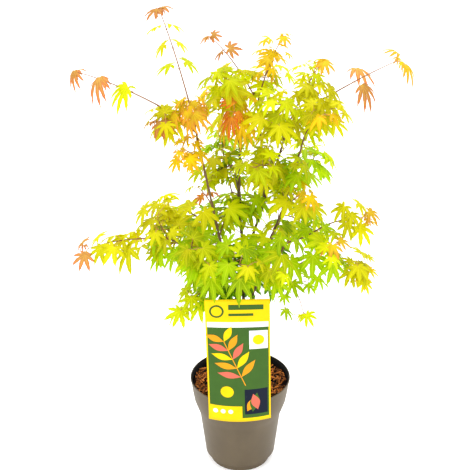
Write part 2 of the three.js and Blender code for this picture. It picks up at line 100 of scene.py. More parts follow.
# Picture card, a little askew, bent back at its foot and flat at its head, with its mesh's
# columns and the height of its rows, and the path of the tab that clips it over the rim.
CARD_WIDTH = 115
CARD_CENTRE_X = -3
CARD_FOOT = 141
CARD_HEAD = 398.5
CARD_TILT = math.radians(1.1)
CARD_THICKNESS = 0.8
CARD_FRONT = 95.9
CARD_RADIUS = 150
CARD_CURVED_TOP = 200
CARD_MARGIN = 5
CARD_COLUMNS = 40
CARD_ROW = 12
TAB_COLUMNS = 2
TAB_WIDTH = 20
TAB_PATH = [(-95.1, 214), (-92.5, 193), (-89.6, 181), (-87.6, 168.6)]

# Printed fields of the card from its foot up: height above its middle where each ends.
CARD_FIELDS = [(-121, "yellow"), (72, "green"), (83, "white"), (130, "yellow")]

# Printed patches: outline, colour, foot from the card's middle, heading from straight up in
# degrees, length and half width.
CARD_PATCHES = [
    ("bar", "yellow", (-56, -127), 0, 250, 1.4),
    ("bar", "yellow", (56, -127), 0, 250, 1.4),
    ("bar", "yellow", (-57, -108), 90, 62, 13),
    ("disc", "white", (-49, -107), 90, 9, 4.5),
    ("disc", "white", (-35, -107), 90, 9, 4.5),
    ("disc", "white", (-21, -107), 90, 9, 4.5),
    ("bar", "dark", (10, -86), 90, 42, 27),
    ("leaf", "orange", (14, -106), 30, 34, 8),
    ("leaf", "green", (24, -108), 12, 42, 9),
    ("leaf", "coral", (34, -104), -14, 36, 8),
    ("bar", "white", (20, 46), 90, 33, 19),
    ("disc", "yellow", (26, 46), 90, 21, 10.5),
    ("disc", "yellow", (-34, -64), 90, 24, 12),
    ("disc", "green", (-50, 105), 90, 26, 13),
    ("disc", "yellow", (-46.5, 105), 90, 19, 9.5),
    ("bar", "green", (-16, 113), 90, 62, 5),
    ("bar", "green", (-16, 98), 90, 44, 2.5),
]

# Mesh of a printed patch, and how far its back and its front stand off the card. Each
# patch's front stands a little higher than the one before.
PATCH_STEPS = 12
PATCH_COLUMNS = 6
PATCH_BACK = 0.02
PATCH_FRONT = 0.1
PATCH_STACK = 0.012

# Printed sprig: its foot, heading, length, leaf nodes and half width. Then its first leaves'
# length and half width, the share by which each next pair is shorter, and the angle of the
# first pair from the stem with how much each next pair closes up.
SPRIG_FOOT = (12, -50)
SPRIG_HEADING = -22
SPRIG_LENGTH = 100
SPRIG_NODES = 5
SPRIG_STEM = 0.8
SPRIG_LEAF = (44, 6.5)
SPRIG_TAPER = 0.05
SPRIG_ANGLES = (58, 3)

# Growth of a spray and its leaves, as in the frame's source, but with young leaves folded
# further.
STEM_STEPS = 3
STEM_KNEE = 0.45
STEEP = 0.9
STEM_RISE = 0.06
STEM_LEAN = 0.12
FIRST_NODE = 0.34
LAST_NODE = 0.98
TURN_SCATTER = 0.35
TWIG_SHARE = 0.4
TWIG_STEP = 0.05
TWIG_SCATTER = 0.2
STALK_ALONG = 0.6
STALK_OUT = 0.85
STALK_UP = 0.22
STALK_SHARE = 0.45
BLADE_UP = 0.8
BLADE_FRONT = 0.1
BLADE_OUTWARD = 0.42
OUTWARD_MIX = 0.4
BLADE_SCATTER = 0.3
BLADE_HANG = 0.3
BLADE_DROOP = 0.38
YOUNG_DROOP = 0.8
YOUNG_OPENING = 0.66
DROOP_SCATTER = 0.08
FOOT_LEAF = 1.15
TIP_LEAF = 0.75
SIDE_LEAF = 0.9
LEAF_SCATTER = 0.12
YOUNG_TINTS = ("coral", "orange", "red")

# Finer growth that the frame leaves out, with its seeds and the leaves'. Leaves part way
# along a side twig: their place, turn and size. Short side shoots: their least reach and
# what chance adds, and their leaves' size. Last leaves at a spray's tip: their size without
# and with side twigs.
FINE_SEEDS = 1000
LEAF_SEEDS = 500
MIDWAY_LEAVES = (0.55, 1.4, 0.7)
SHOOT_REACH = (0.55, 0.3)
SHOOT_LEAF = 0.72
LAST_LEAVES = (0.4, 0.45)

# Limbs, parents first: name, parent and share of its length where the limb starts, bends
# and tip, and the radius at foot and tip.
TRUNK_FOOT = (0, 0, SOIL_TOP + 0.3)
LIMBS = [
    ("trunk", None, 0, [(1, 0, 215), (3, 0, 262), (5, 0, 306)], 6.8, 5.2),
    ("stem_left", "trunk", 0.7,
     [(-12, -8, 384), (-29, -20, 446), (-56, -35, 590), (-83, -30, 728)], 4.2, 1.9),
    ("stem_centre", "trunk", 0.98,
     [(7, 5, 421), (0, 10, 513), (-1, 15, 616), (7, 20, 692)], 4.2, 1.9),
    ("stem_right", "trunk", 0.78,
     [(25, -10, 371), (48, -15, 459), (78, -5, 541), (112, 10, 664)], 3.9, 1.8),
    ("stem_centre_right", "stem_centre", 0.26,
     [(32, 17, 499), (63, 25, 600), (84, 30, 676)], 3.2, 1.8),
    ("stem_upper", "stem_centre_right", 0.45, [(40, 42, 610), (28, 60, 712)], 2.4, 1.6),
    ("stem_right_low", "stem_right", 0.24, [(43, -40, 424), (84, -70, 500)], 2.8, 1.7),
    ("bough_low_left", "stem_left", 0.47, [(-88, -55, 482), (-140, -60, 504)], 2.4, 1.5),
    ("bough_upper_left", "stem_left", 0.92, [(-112, -30, 717), (-140, -24, 730)], 1.7, 1.4),
    ("bough_upper_right", "stem_centre_right", 0.93, [(117, 22, 714), (162, 12, 738)], 1.7, 1.4),
    ("bough_right", "stem_right", 0.5, [(105, -35, 487), (152, -42, 518)], 2.1, 1.5),
    ("bough_right_low", "stem_right_low", 0.42, [(98, -62, 450), (170, -62, 452)], 2.1, 1.5),
    ("bough_front", "stem_left", 0.34, [(-30, -62, 434), (-28, -108, 472)], 2.2, 1.5),
    ("bough_back", "stem_centre", 0.4, [(-12, 62, 520), (-30, 118, 575)], 2.3, 1.5),
    ("bough_back_right", "stem_right", 0.42, [(72, 50, 480), (108, 108, 528)], 2.2, 1.5),
    ("bough_back_left", "stem_left", 0.5, [(-62, 30, 486), (-106, 86, 490)], 2.1, 1.5),
]

# Sprays: name, limb and share of its length where the spray starts, tip, leaf pairs, side
# twig nodes, leaf size, tint and seed.
SPRAYS = [
    ("top_left", "stem_left", 1, (-132, 0, 884), 4, 0, 34, "yellow", 11),
    ("left_whip", "bough_upper_left", 0.68, (-272, 0, 780), 3, 0, 44, "coral", 12),
    ("left_shoulder", "bough_upper_left", 0.25, (-132, -54, 712), 3, 1, 38, "yellow", 13),
    ("left_crest", "stem_left", 0.97, (-88, -56, 738), 2, 1, 38, "orange", 14),
    ("upper_coral", "stem_upper", 1, (-50, 36, 830), 3, 0, 26, "gold", 15),
    ("upper_whip", "stem_upper", 0.95, (72, 60, 822), 3, 1, 29, "gold", 16),
    ("upper_back", "stem_upper", 0.8, (56, 138, 742), 3, 1, 42, "lime", 17),
    ("red_crest", "stem_centre", 0.97, (-10, -36, 722), 2, 1, 42, "red", 18),
    ("top_green", "stem_centre", 1, (-42, 2, 770), 3, 1, 46, "lime", 19),
    ("top_middle", "stem_centre_right", 0.88, (66, -40, 738), 3, 1, 44, "lime", 20),
    ("upper_right", "stem_centre_right", 1, (138, 24, 790), 3, 1, 34, "lime", 21),
    ("right_top", "bough_upper_right", 0.5, (142, -50, 722), 3, 1, 40, "yellow", 22),
    ("right_whip", "bough_upper_right", 0.85, (262, 0, 800), 2, 0, 42, "coral", 23),
    ("right_shoulder", "stem_right", 0.82, (102, -32, 628), 2, 1, 36, "lime", 24),
    ("right_crown", "stem_right", 1, (134, 60, 676), 2, 1, 40, "lime", 25),
    ("right_middle", "stem_right", 0.7, (112, -52, 584), 2, 1, 38, "yellow", 26),
    ("right_arm", "bough_right", 1, (216, -42, 532), 2, 1, 38, "yellow", 27),
    ("right_arm_low", "bough_right_low", 0.55, (160, -100, 506), 3, 1, 40, "lime", 28),
    ("right_droop", "bough_right_low", 1, (216, -70, 436), 3, 1, 34, "yellow", 29),
    ("right_foot", "bough_right_low", 0.3, (112, -92, 368), 2, 1, 30, "lime", 30),
    ("front_right", "stem_right_low", 0.8, (62, -146, 480), 3, 1, 42, "lime", 31),
    ("front_middle", "bough_front", 1, (14, -150, 492), 3, 1, 42, "lime", 32),
    ("front_low", "bough_front", 0.7, (-56, -128, 486), 3, 1, 40, "lime", 33),
    ("left_front", "bough_low_left", 0.45, (-80, -118, 506), 3, 1, 44, "lime", 34),
    ("left_foot", "stem_left", 0.3, (-104, -62, 358), 3, 1, 44, "lime", 35),
    ("left_arm", "bough_low_left", 0.85, (-266, -60, 480), 4, 0, 42, "yellow", 36),
    ("left_arm_low", "bough_low_left", 0.62, (-146, -36, 472), 2, 1, 36, "lime", 37),
    ("left_middle", "stem_left", 0.54, (-144, -62, 518), 3, 1, 40, "yellow", 38),
    ("left_high", "stem_left", 0.82, (-98, -66, 668), 2, 1, 28, "gold", 39),
    ("left_thin", "stem_left", 0.68, (-76, 24, 560), 2, 0, 26, "yellow", 40),
    ("centre_left", "stem_centre", 0.72, (-44, 44, 582), 3, 1, 42, "lime", 41),
    ("centre_right", "stem_centre_right", 0.62, (24, -70, 636), 3, 1, 38, "lime", 42),
    ("centre_low", "stem_right", 0.38, (60, -44, 508), 3, 1, 38, "lime", 43),
    ("back_low", "bough_back", 0.6, (14, 150, 458), 3, 1, 44, "green", 44),
    ("back_middle", "bough_back", 1, (-34, 186, 592), 3, 1, 44, "lime", 45),
    ("back_right", "bough_back_right", 1, (146, 166, 570), 3, 1, 44, "lime", 46),
    ("back_right_low", "bough_back_right", 0.6, (142, 60, 452), 3, 1, 42, "lime", 47),
    ("back_left", "bough_back_left", 1, (-140, 128, 446), 3, 1, 42, "yellow", 48),
    ("back_left_low", "bough_back_left", 0.5, (-96, 90, 440), 3, 1, 44, "green", 49),
    ("back_high", "stem_centre", 0.82, (-50, 118, 706), 3, 1, 44, "yellow", 50),
    ("centre_front", "stem_left", 0.58, (-12, 28, 528), 3, 1, 44, "lime", 51),
]

# Radius of the stems and boughs, as a share of their radius in the frame.
SLIM = 0.82

# Pruned stubs: limb and share of its length where the stub starts, its cut end and radius.
STUBS = [
    ("stem_upper", 0.96, (24, 60, 727), 2.0),
    ("stem_centre", 0.55, (-8, 6, 596), 1.7),
]

# Fine shoots straight from the limbs, inside the crown: limb, shares of its length where the
# first and last shoot start, number, reach, leaf size, tint and seed. Then the turn from one
# shoot to the next, and where its first leaves stand.
FINE_SHOOTS = [
    ("stem_left", 0.12, 0.28, 4, 34, 36, "inner", 71),
    ("stem_centre", 0.1, 0.24, 4, 34, 36, "inner", 72),
    ("stem_right", 0.12, 0.28, 4, 38, 36, "inner", 73),
    ("stem_right_low", 0.3, 0.6, 2, 34, 34, "inner", 74),
    ("stem_left", 0.5, 0.72, 3, 36, 36, "lime", 75),
    ("stem_centre", 0.4, 0.66, 4, 44, 38, "green", 76),
    ("stem_centre_right", 0.34, 0.58, 4, 40, 38, "lime", 77),
    ("stem_right", 0.46, 0.76, 4, 40, 36, "lime", 78),
    ("stem_centre_right", 0.66, 0.86, 3, 40, 36, "lime", 79),
    ("bough_low_left", 0.86, 1, 3, 38, 40, "yellow", 80),
]
SHOOT_TURN = 2.4
SHOOT_FIRST_LEAVES = 0.6

# Tints of a spray's first and last leaves where they aren't its own tint.
FOOT_TINTS = {
    "left_whip": "lime",
    "top_left": "lime",
    "upper_coral": "lime",
    "upper_right": "yellow",
    "top_green": "yellow",
    "top_middle": "yellow",
    "upper_back": "lime",
    "right_crown": "lime",
    "centre_left": "yellow",
    "centre_right": "yellow",
    "red_crest": "gold",
    "left_thin": "red",
    "lime": "green",
}

TIP_TINTS = {
    "top_left": "coral",
    "right_whip": "orange",
    "left_shoulder": "coral",
    "upper_coral": "coral",
    "upper_whip": "orange",
    "upper_right": "orange",
    "right_top": "gold",
    "right_middle": "gold",
    "right_arm": "orange",
    "right_arm_low": "orange",
    "right_droop": "gold",
    "left_arm": "coral",
    "left_high": "orange",
    "front_middle": "yellow",
    "back_left": "orange",
    "back_high": "gold",
    "green": "lime",
    "lime": "yellow",
}

# Sprays whose middle leaves already have the tint of their last ones.
EARLY_TIPS = ("upper_coral",)

# Sprays that stay open, without the finer growth along their stems and side twigs.
OPEN_SPRAYS = (
    "front_right",
    "front_middle",
    "front_low",
    "left_front",
    "centre_low",
    "centre_front",
    "left_arm_low",
)

# Leaf: angle and length of each lobe from the middle one out, and the places along a lobe
# of its rib's joints, its teeth's tips and the backs of the teeth, with their half widths.
# A lobe's width follows its length to a power. Angles are in degrees.
LEAF_LOBES = [(0, 1.0), (37, 0.94), (75, 0.76), (116, 0.45)]
SINUS = 0.37
OUTER_SINUS = (146, 0.12)
RIB = (0.26, 0.54, 0.78, 1.0)
TEETH = ((0.59, 1.0), (0.81, 0.66))
TOOTH_BACKS = ((0.65, 0.8), (0.87, 0.34))
LOBE_POWER = 0.6
LOBE_TURN_SCATTER = 3
LOBE_LENGTH_SCATTER = 0.06
SINUS_RISE = 0.1
TINTS = ("inner", "green", "lime", "yellow", "gold", "orange", "coral", "red")

# Leaf look: how dark its soft patches and its deepest tone are, the linear colour towards
# which its ribs turn and how far, and the share of light that comes through.
PATCHY = 0.84
DEEP = 0.5
RIB_COLOUR = (1, 0.92, 0.06)
RIB_TURN = 0.35
LIGHT_THROUGH = 0.56

# Bark, in millimetres and shares of the radius: rings of old leaf scars, the trunk's root
# flare with its ridges, the collar at a limb's foot, and the waves that roughen it, with
# their twist and what each next one adds to it.
RING_FIRST = 25
RING_GAP = 42
RING_WIDTH = 1.8
RING_SWELL = 0.14
FLARE = 6.5
FLARE_SHARE = 0.2
FLARE_RIDGES = 5
FLARE_DEPTH = 0.25
COLLAR_SWELL = 0.3
COLLAR_LENGTH = 6
BARK_WAVES = 6
BARK_TWIST = (0.25, 0.11)

# Age from 0 to 1 of the trunk's foot and tip, and the radii at which the foot and tip of a
# limb would be as old.
TRUNK_AGES = (1, 0.95)
OLD_RADII = (4, 5)

# Twigs by their order: radius, as a share of a spray's stem, and steps. Then how thin and old
# they are, and how a leaf stalk bows and laps onto its leaf.
TWIG_RADII = (1, 0.6, 0.5)
TWIG_STEPS = (16, 4, 4)
TWIG_TAPER = 0.45
TWIG_AGE = 0.3
STALK_BOW = 0.08
STALK_LAP = 0.02

# Fineness of the tubes, how steep a tube may stand before another axis guides its sides, and
# the widest angle that is shaded smooth.
TRUNK_SIDES = 24
LIMB_SIDES = 12
LIMB_STEP = 2.5
LENGTH_STEPS = 20
STUB_STEPS = 6
TWIG_SIDES = 7
STALK_SIDES = 5
STALK_STEPS = 5
STEEP_CHORD = 0.75
SMOOTH_ANGLE = math.radians(40)

# Mulch: its seed, the bed's rings and sides, its depth below the soil's top and its
# roughness. Then the chips' clearance from the wall, the share of the bed round the trunk
# that they leave free, their height, shares of the mean length, half width and how much of
# it their ends keep, tilt, bend, flatness and shades, as the least and most or as a spread.
# Chips that would come nearer to the wall than the edge are cut short.
MULCH_SEED = 7
BED_RINGS = 26
BED_SIDES = 96
BED_DEPTH = 2
BED_ROUGHNESS = (-1.6, 0.6)
CHIP_CLEAR = 3
CHIP_FREE = 0.006
CHIP_HEIGHTS = (-1, 4)
CHIP_LENGTHS = (0.4, 1.3)
CHIP_WIDTHS = (0.9, 2.2)
CHIP_ENDS = (0.3, 0.9)
CHIP_TILT = 0.25
CHIP_BEND = 0.12
CHIP_FLATNESS = 0.55
CHIP_SHADES = (0.6, 0.95)
CHIP_EDGE = 0.5
CHIP_CUT = 0.3

# Studio, in metres and watts: lights with their place, width and power, and the camera.
LIGHTS = (
    ("key_light", (-1.6, -2.2, 2.6), 1.2, 26),
    ("fill_light", (2.2, -1.6, 1.6), 1.8, 11),
    ("top_light", (0.2, 1.2, 3.0), 1.6, 50),
)
LIGHT_AIM = (0, 0, 0.5)
SKY_STRENGTH = 1.52
FLOOR_SIZE = 24
FLOOR_PLACE = (0, 4, 0)
FLOOR_COLOUR = (0.92, 0.92, 0.92, 1)
FLOOR_GLOW = 0.18
WHITE = (1, 1, 1, 1)
CAMERA_PLACE = (0, -1.8, 1.3309)
CAMERA_DOWN = 25.36
SENSOR_WIDTH = 36
PICTURE_WIDTH = 470
FOCAL_PIXELS = 1107.7
SHIFT_PIXELS = -5.2


def linear(code):
    """The linear colour of a hexadecimal screen colour."""
    shares = [int(code[at : at + 2], 16) / 255 for at in (0, 2, 4)]
    return [s / 12.92 if s <= 0.04045 else ((s + 0.055) / 1.055) ** 2.4 for s in shares]


def size_property(name, value, description, subtype="DISTANCE"):
    """A size that a user would change."""
    return FloatProperty(
        name=name, default=value, min=0, description=description, subtype=subtype, precision=5
    )


def share_property(name, value, description):
    """A share that a user would change."""
    return size_property(name, value, description, "FACTOR")


def colour_property(name, code, description):
    """A colour that a user would change."""
    return FloatVectorProperty(
        name=name, default=linear(code), size=3, min=0, max=1, subtype="COLOR",
        description=description,
    )


class MapleSizes(bpy.types.PropertyGroup):
    """Sizes of the parts that the frame leaves open."""

    lobe_width: share_property("Lobe width", 0.135, "Half width of a lobe, as a share of the leaf")
    young_width: share_property("Young lobe width", 0.1, "The same for a leaf still unfolding")
    fold: share_property("Lobe fold", 0.35, "How steeply a lobe's halves rise from its rib")
    stalk_radius: size_property("Stalk radius", 0.0005, "Radius of a leaf stalk")
    twig_radius: size_property("Twig radius", 0.0014, "Radius of a spray's stem at its foot")
    bark_relief: size_property("Bark relief", 0.0003, "Height of the ridges in the bark")
    chip_length: size_property("Chip length", 0.0125, "Mean length of a bark chip")
    chip_count: IntProperty(name="Chips", default=1400, min=1, description="Number of chips")
    pot_sides: IntProperty(name="Pot sides", default=128, min=16, description="Facets round it")


class MapleColours(bpy.types.PropertyGroup):
    """Base colours of the finishes."""

    leaf_inner: colour_property("Inner leaf", "74b208", "Palms of leaves near the fork")
    leaf_green: colour_property("Green leaf", "b8d800", "Palms of leaves low in the crown")
    leaf_lime: colour_property("Lime leaf", "e2ea00", "Palms of most leaves")
    leaf_yellow: colour_property("Yellow leaf", "e2dc0c", "Palms of leaves in full light")
    leaf_gold: colour_property("Gold leaf", "f4d400", "Palms of leaves near the crest")
    leaf_orange: colour_property("Orange leaf", "f0d41c", "Palms of young leaves")
    leaf_coral: colour_property("Coral leaf", "d09c50", "Palms of the youngest leaves")
    leaf_red: colour_property("Red leaf", "f09a2a", "Palms of the crest's young leaves")
    tip_inner: colour_property("Inner tip", "5a9a04", "Lobe tips of leaves near the fork")
    tip_green: colour_property("Green tip", "a0cc00", "Lobe tips of green leaves")
    tip_lime: colour_property("Lime tip", "ccdc00", "Lobe tips of lime leaves")
    tip_yellow: colour_property("Yellow tip", "d4d400", "Lobe tips of yellow leaves")
    tip_gold: colour_property("Gold tip", "f2b020", "Lobe tips of gold leaves")
    tip_orange: colour_property("Orange tip", "ea8444", "Lobe tips of orange leaves")
    tip_coral: colour_property("Coral tip", "d26044", "Lobe tips of coral leaves")
    tip_red: colour_property("Red tip", "e04826", "Lobe tips of red leaves")
    bark: colour_property("Bark", "5f5032", "Old wood")
    young_wood: colour_property("Young wood", "7c5230", "Twigs of the last year")
    leaf_stalk: colour_property("Leaf stalk", "c08a4a", "Stalks of the leaves")
    pot_outside: colour_property("Pot outside", "5b4f3d", "The pot's outer skin")
    pot_inside: colour_property("Pot inside", "050404", "The pot's inner skin")
    chip_light: colour_property("Light chip", "ea8a3e", "Fresh faces of the bark chips")
    chip_dark: colour_property("Dark chip", "1a0703", "Shaded and weathered bark chips")
    card_yellow: colour_property("Card yellow", "e4c000", "Bands and edge of the card")
    card_green: colour_property("Card green", "395a21", "Field of the card")
    card_white: colour_property("Card white", "dededc", "Stripe and spots of the card")
    card_dark: colour_property("Card inset", "101828", "Inset panel of the card")
    card_coral: colour_property("Card coral", "cf6450", "Leaves on the card")
    card_orange: colour_property("Card orange", "dc9016", "Leaves on the card")


# Growth.


def dice(seed):
    """Repeatable random numbers from 0 to 1, the same as the frame's source draws."""
    state = seed & WORD

    def roll():
        nonlocal state
        state = (state + 0x6D2B79F5) & WORD
        mixed = (state ^ (state >> 15)) * (state | 1) & WORD
        mixed ^= (mixed + ((mixed ^ (mixed >> 7)) * (mixed | 61) & WORD)) & WORD
        return (mixed ^ (mixed >> 14)) / 4294967296

    return roll


def spread(roll, size):
    """A random number from -size to size."""
    return (2 * roll() - 1) * size


def unit(vector):
    """The vector at length one."""
    return vector / np.linalg.norm(vector)


def mix(one, other, share):
    """The value a share of the way from one to the other."""
    return one + (other - one) * share


class Path:
    """A path with a place and a direction at each share of its length."""

    def tangent(self, share):
        """The direction of the path."""
        low, high = max(share - 1e-4, 0), min(share + 1e-4, 1)
        return unit(self.at(high) - self.at(low))

    def length(self):
        """The length of the path."""
        places = [self.at(step / LENGTH_STEPS) for step in range(LENGTH_STEPS + 1)]
        return sum(np.linalg.norm(there - here) for here, there in zip(places, places[1:]))


class SmoothPath(Path):
    """A smooth path through its points."""

    def __init__(self, points):
        self.points = [np.array(point, float) for point in points]

    def at(self, share):
        """The place at a share of the path."""
        last = len(self.points) - 1
        index = min(int(share * last), last - 1)
        rest = share * last - index
        here, there = self.points[index], self.points[index + 1]
        before = self.points[index - 1] if index else 2 * here - there
        after = self.points[index + 2] if index + 2 <= last else 2 * there - here
        leave, arrive = 0.5 * (there - before), 0.5 * (after - here)
        square, cube = rest**2, rest**3
        return (
            (2 * cube - 3 * square + 1) * here
            + (cube - 2 * square + rest) * leave
            + (3 * square - 2 * cube) * there
            + (cube - square) * arrive
        )


class BentPath(Path):
    """A path from its foot to its tip that bows towards a knee."""

    def __init__(self, foot, knee, tip):
        self.foot, self.knee, self.tip = foot, knee, tip

    def at(self, share):
        """The place at a share of the path."""
        back = 1 - share
        return back * back * self.foot + 2 * back * share * self.knee + share * share * self.tip


def straight(foot, tip):
    """A path without a bend."""
    return BentPath(foot, (foot + tip) / 2, tip)


def middle_of(path, share):
    """The place on a spray's stem, on the straight run between two of the source's rings."""
    ring = min(int(share * STEM_STEPS), STEM_STEPS - 1)
    low, high = path.at(ring / STEM_STEPS), path.at((ring + 1) / STEM_STEPS)
    return mix(low, high, share * STEM_STEPS - ring)


def place_leaf(root, stalk, size, young, roll):
    """A leaf's frame: its stalk leaves the twig and its blade turns up, outward and a little
    to the front, hanging from the stalk's end."""
    base = root + stalk * size * (STALK_SHARE + spread(roll, LEAF_SCATTER))
    flat = np.array([1, 1, 0])
    outward = unit(stalk * flat + unit(base * flat) * OUTWARD_MIX)
    normal = np.array([0, -BLADE_FRONT, BLADE_UP]) + outward * BLADE_OUTWARD
    normal[0] += spread(roll, BLADE_SCATTER)
    normal[1] += spread(roll, BLADE_SCATTER)
    normal = unit(normal)
    hang = stalk - np.array([0, 0, BLADE_HANG])
    forward = unit(hang - normal * hang.dot(normal))
    droop = (YOUNG_DROOP if young else BLADE_DROOP) + DROOP_SCATTER * roll()
    return {
        "root": root,
        "base": base,
        "forward": forward,
        "side": unit(np.cross(forward, normal)),
        "normal": normal,
        "size": size,
        "opening": YOUNG_OPENING if young else 1,
        "droop": droop,
    }


def stalk_direction(along, angle, way):
    """The way a leaf stalk or side twig leaves a twig, turned about the twig by an angle."""
    guide = np.array([0, 1, 0]) if abs(along[2]) > STEEP else np.array([0, 0, 1])
    across = unit(np.cross(along, guide))
    upward = np.cross(across, along)
    turned = across * math.cos(angle) + upward * math.sin(angle)
    direction = along * STALK_ALONG + turned * STALK_OUT * way
    direction[2] += STALK_UP
    return unit(direction)


def leaf_pair(point, along, angle, size, young, roll):
    """Two opposite leaves at a point of a twig."""
    pair = []
    for way in (1, -1):
        stalk = stalk_direction(along, angle, way)
        pair.append(place_leaf(point, stalk, size * (1 + spread(roll, LEAF_SCATTER)), young, roll))
    return pair


def grow_limbs():
    """All limbs with their smooth paths."""
    limbs = {}
    for name, parent, share, bends, thick, thin in LIMBS:
        foot = limbs[parent]["path"].at(share) if parent else TRUNK_FOOT
        path = SmoothPath([foot, *bends])
        limbs[name] = {"parent": parent, "path": path, "thick": thick, "thin": thin}
    return limbs


def tint_at(name, tint, node, pairs):
    """The tint of the leaves at a node of a spray, from its foot to its tip."""
    if node == 0:
        return FOOT_TINTS.get(name, FOOT_TINTS.get(tint, tint))
    if node == pairs - 1 or name in EARLY_TIPS:
        return TIP_TINTS.get(name, tint)
    return tint


def grow_spray(row, limbs):
    """One spray: its stem and side twigs, and the frames of its leaves, by the source's rule
    and carried on to finer shoots by a second set of dice."""
    name, limb, at, tip, pairs, branches, leaf_size, tint, seed = row
    roll, fine = dice(seed), dice(seed + FINE_SEEDS)
    young = tint in YOUNG_TINTS
    path = limbs[limb]["path"]
    foot, tip = path.at(at), np.array(tip, float)
    length = np.linalg.norm(tip - foot)
    knee = mix(foot, tip, STEM_KNEE) + path.tangent(at) * STEM_LEAN * length
    knee[2] += STEM_RISE * length
    stem = BentPath(foot, knee, tip)
    twigs = [{"path": stem, "order": 0}]
    leaves = []

    def add_pair(point, along, angle, size, kind, roll, plain):
        pair = leaf_pair(point, along, angle, size, plain, roll)
        for leaf in pair:
            leaf["tint"] = kind
        leaves.extend(pair)

    turn = spread(roll, 2 * TURN_SCATTER)
    quarter = math.pi / 2 if branches else 0
    midway, swing, smaller = MIDWAY_LEAVES
    for node in range(pairs):
        share = mix(FIRST_NODE, LAST_NODE, node / (pairs - 1))
        along = stem.tangent(share)
        angle = turn + node * quarter + spread(roll, TURN_SCATTER)
        size = leaf_size * mix(FOOT_LEAF, TIP_LEAF, share)
        kind = tint_at(name, tint, node, pairs)
        add_pair(middle_of(stem, share), along, angle, size, kind, roll, young)
        if node >= branches:
            if node < pairs - 1 and branches and name not in OPEN_SPRAYS:
                grow_shoots(add_pair, twigs, stem, share, angle, size, kind, fine, young)
            continue
        joint = middle_of(stem, share + TWIG_STEP)
        for way in (1, -1):
            out = stalk_direction(along, angle + math.pi / 2, way)
            end = joint + out * length * TWIG_SHARE * (1 + spread(roll, TWIG_SCATTER))
            bud = mix(joint, end, LAST_NODE)
            add_pair(bud, out, angle, SIDE_LEAF * size, kind, roll, young)
            twigs.append({"path": straight(joint, end), "order": 1})
            if name not in OPEN_SPRAYS:
                half = mix(joint, end, midway)
                add_pair(half, out, angle + swing, smaller * size, kind, fine, young)
    last = TIP_TINTS.get(name, TIP_TINTS.get(tint, tint))
    small = LAST_LEAVES[min(branches, 1)] * leaf_size
    add_pair(tip, stem.tangent(1), turn, small, last, fine, True)
    return {"twigs": twigs, "leaves": leaves}


def grow_shoots(add_pair, twigs, stem, share, angle, size, kind, fine, young):
    """Short side shoots, one way and the other, each with a pair of smaller leaves."""
    joint = stem.at(share + TWIG_STEP)
    along = stem.tangent(share)
    least, more = SHOOT_REACH
    for way in (1, -1):
        out = stalk_direction(along, angle + math.pi / 2, way)
        end = joint + out * size * (least + more * fine())
        twigs.append({"path": straight(joint, end), "order": 2})
        add_pair(end, out, angle, SHOOT_LEAF * size, kind, fine, young)


def grow_fine_shoots(row, limbs):
    """Short shoots from a limb's far side, each with two pairs of leaves."""
    limb, first, last, count, reach, leaf_size, tint, seed = row
    roll = dice(seed)
    path = limbs[limb]["path"]
    twigs, leaves = [], []
    for number in range(count):
        share = mix(first, last, number / (count - 1))
        angle = number * SHOOT_TURN + spread(roll, TURN_SCATTER)
        root, out = path.at(share), stalk_direction(path.tangent(share), angle, 1)
        out[1] = abs(out[1])
        tip = root + out * reach * (1 + spread(roll, 2 * TWIG_SCATTER))
        twigs.append({"path": straight(root, tip), "order": 1})
        for along, size in ((SHOOT_FIRST_LEAVES, SIDE_LEAF * leaf_size), (1, leaf_size)):
            point = mix(root, tip, along)
            leaves.extend(leaf_pair(point, out, angle + along, size, False, roll))
    for leaf in leaves:
        leaf["tint"] = tint
    return {"twigs": twigs, "leaves": leaves}


def card_depth(x, z):
    """The middle of the card's sheet at a place across and up it, in millimetres."""
    bent = min(max((CARD_HEAD - z) / (CARD_HEAD - CARD_CURVED_TOP), 0), 1)
    return bent * (CARD_RADIUS - math.sqrt(CARD_RADIUS**2 - x**2)) - CARD_FRONT


def touches_card(leaf):
    """Whether a lobe of the leaf would come through the card or lie against it."""
    for angle, length in LEAF_LOBES:
        for way in (1, -1):
            for share in (0.5, 1):
                reach = share * length
                turn = way * math.radians(angle * leaf["opening"])
                flat = leaf["side"] * math.sin(turn) + leaf["forward"] * math.cos(turn)
                drop = leaf["normal"] * leaf["droop"] * reach**2
                x, y, z = leaf["base"] + (flat * reach - drop) * leaf["size"]
                beside = abs(x - CARD_CENTRE_X) < CARD_WIDTH / 2 + CARD_MARGIN
                below = z < CARD_HEAD + CARD_MARGIN
                if beside and below and abs(y - card_depth(x, z)) < 2 * CARD_MARGIN:
                    return True
    return False


def grow_sprays(limbs):
    """All sprays and fine shoots in their order, without the leaves that would touch the card."""
    sprays = [grow_spray(row, limbs) for row in SPRAYS]
    sprays.extend(grow_fine_shoots(row, limbs) for row in FINE_SHOOTS)
    for spray in sprays:
        spray["leaves"] = [leaf for leaf in spray["leaves"] if not touches_card(leaf)]
    return sprays


# Meshes.


def new_piece(name, corners, faces, materials, attributes=(), face_materials=None):
    """A piece of the plant as a mesh from arrays in millimetres, riding on the root body."""
    mesh = bpy.data.meshes.new(name)
    mesh.from_pydata((np.asarray(corners) * MM).tolist(), [], faces)
    for material in materials:
        mesh.materials.append(material)
    for label, values in attributes:
        attribute = mesh.attributes.new(label, "FLOAT", "POINT")
        attribute.data.foreach_set("value", np.asarray(values, np.float32))
    if face_materials is not None:
        mesh.polygons.foreach_set("material_index", face_materials)
    mesh.update()
    piece = bpy.data.objects.new(name, mesh)
    bpy.context.collection.objects.link(piece)
    return finish_piece(piece)


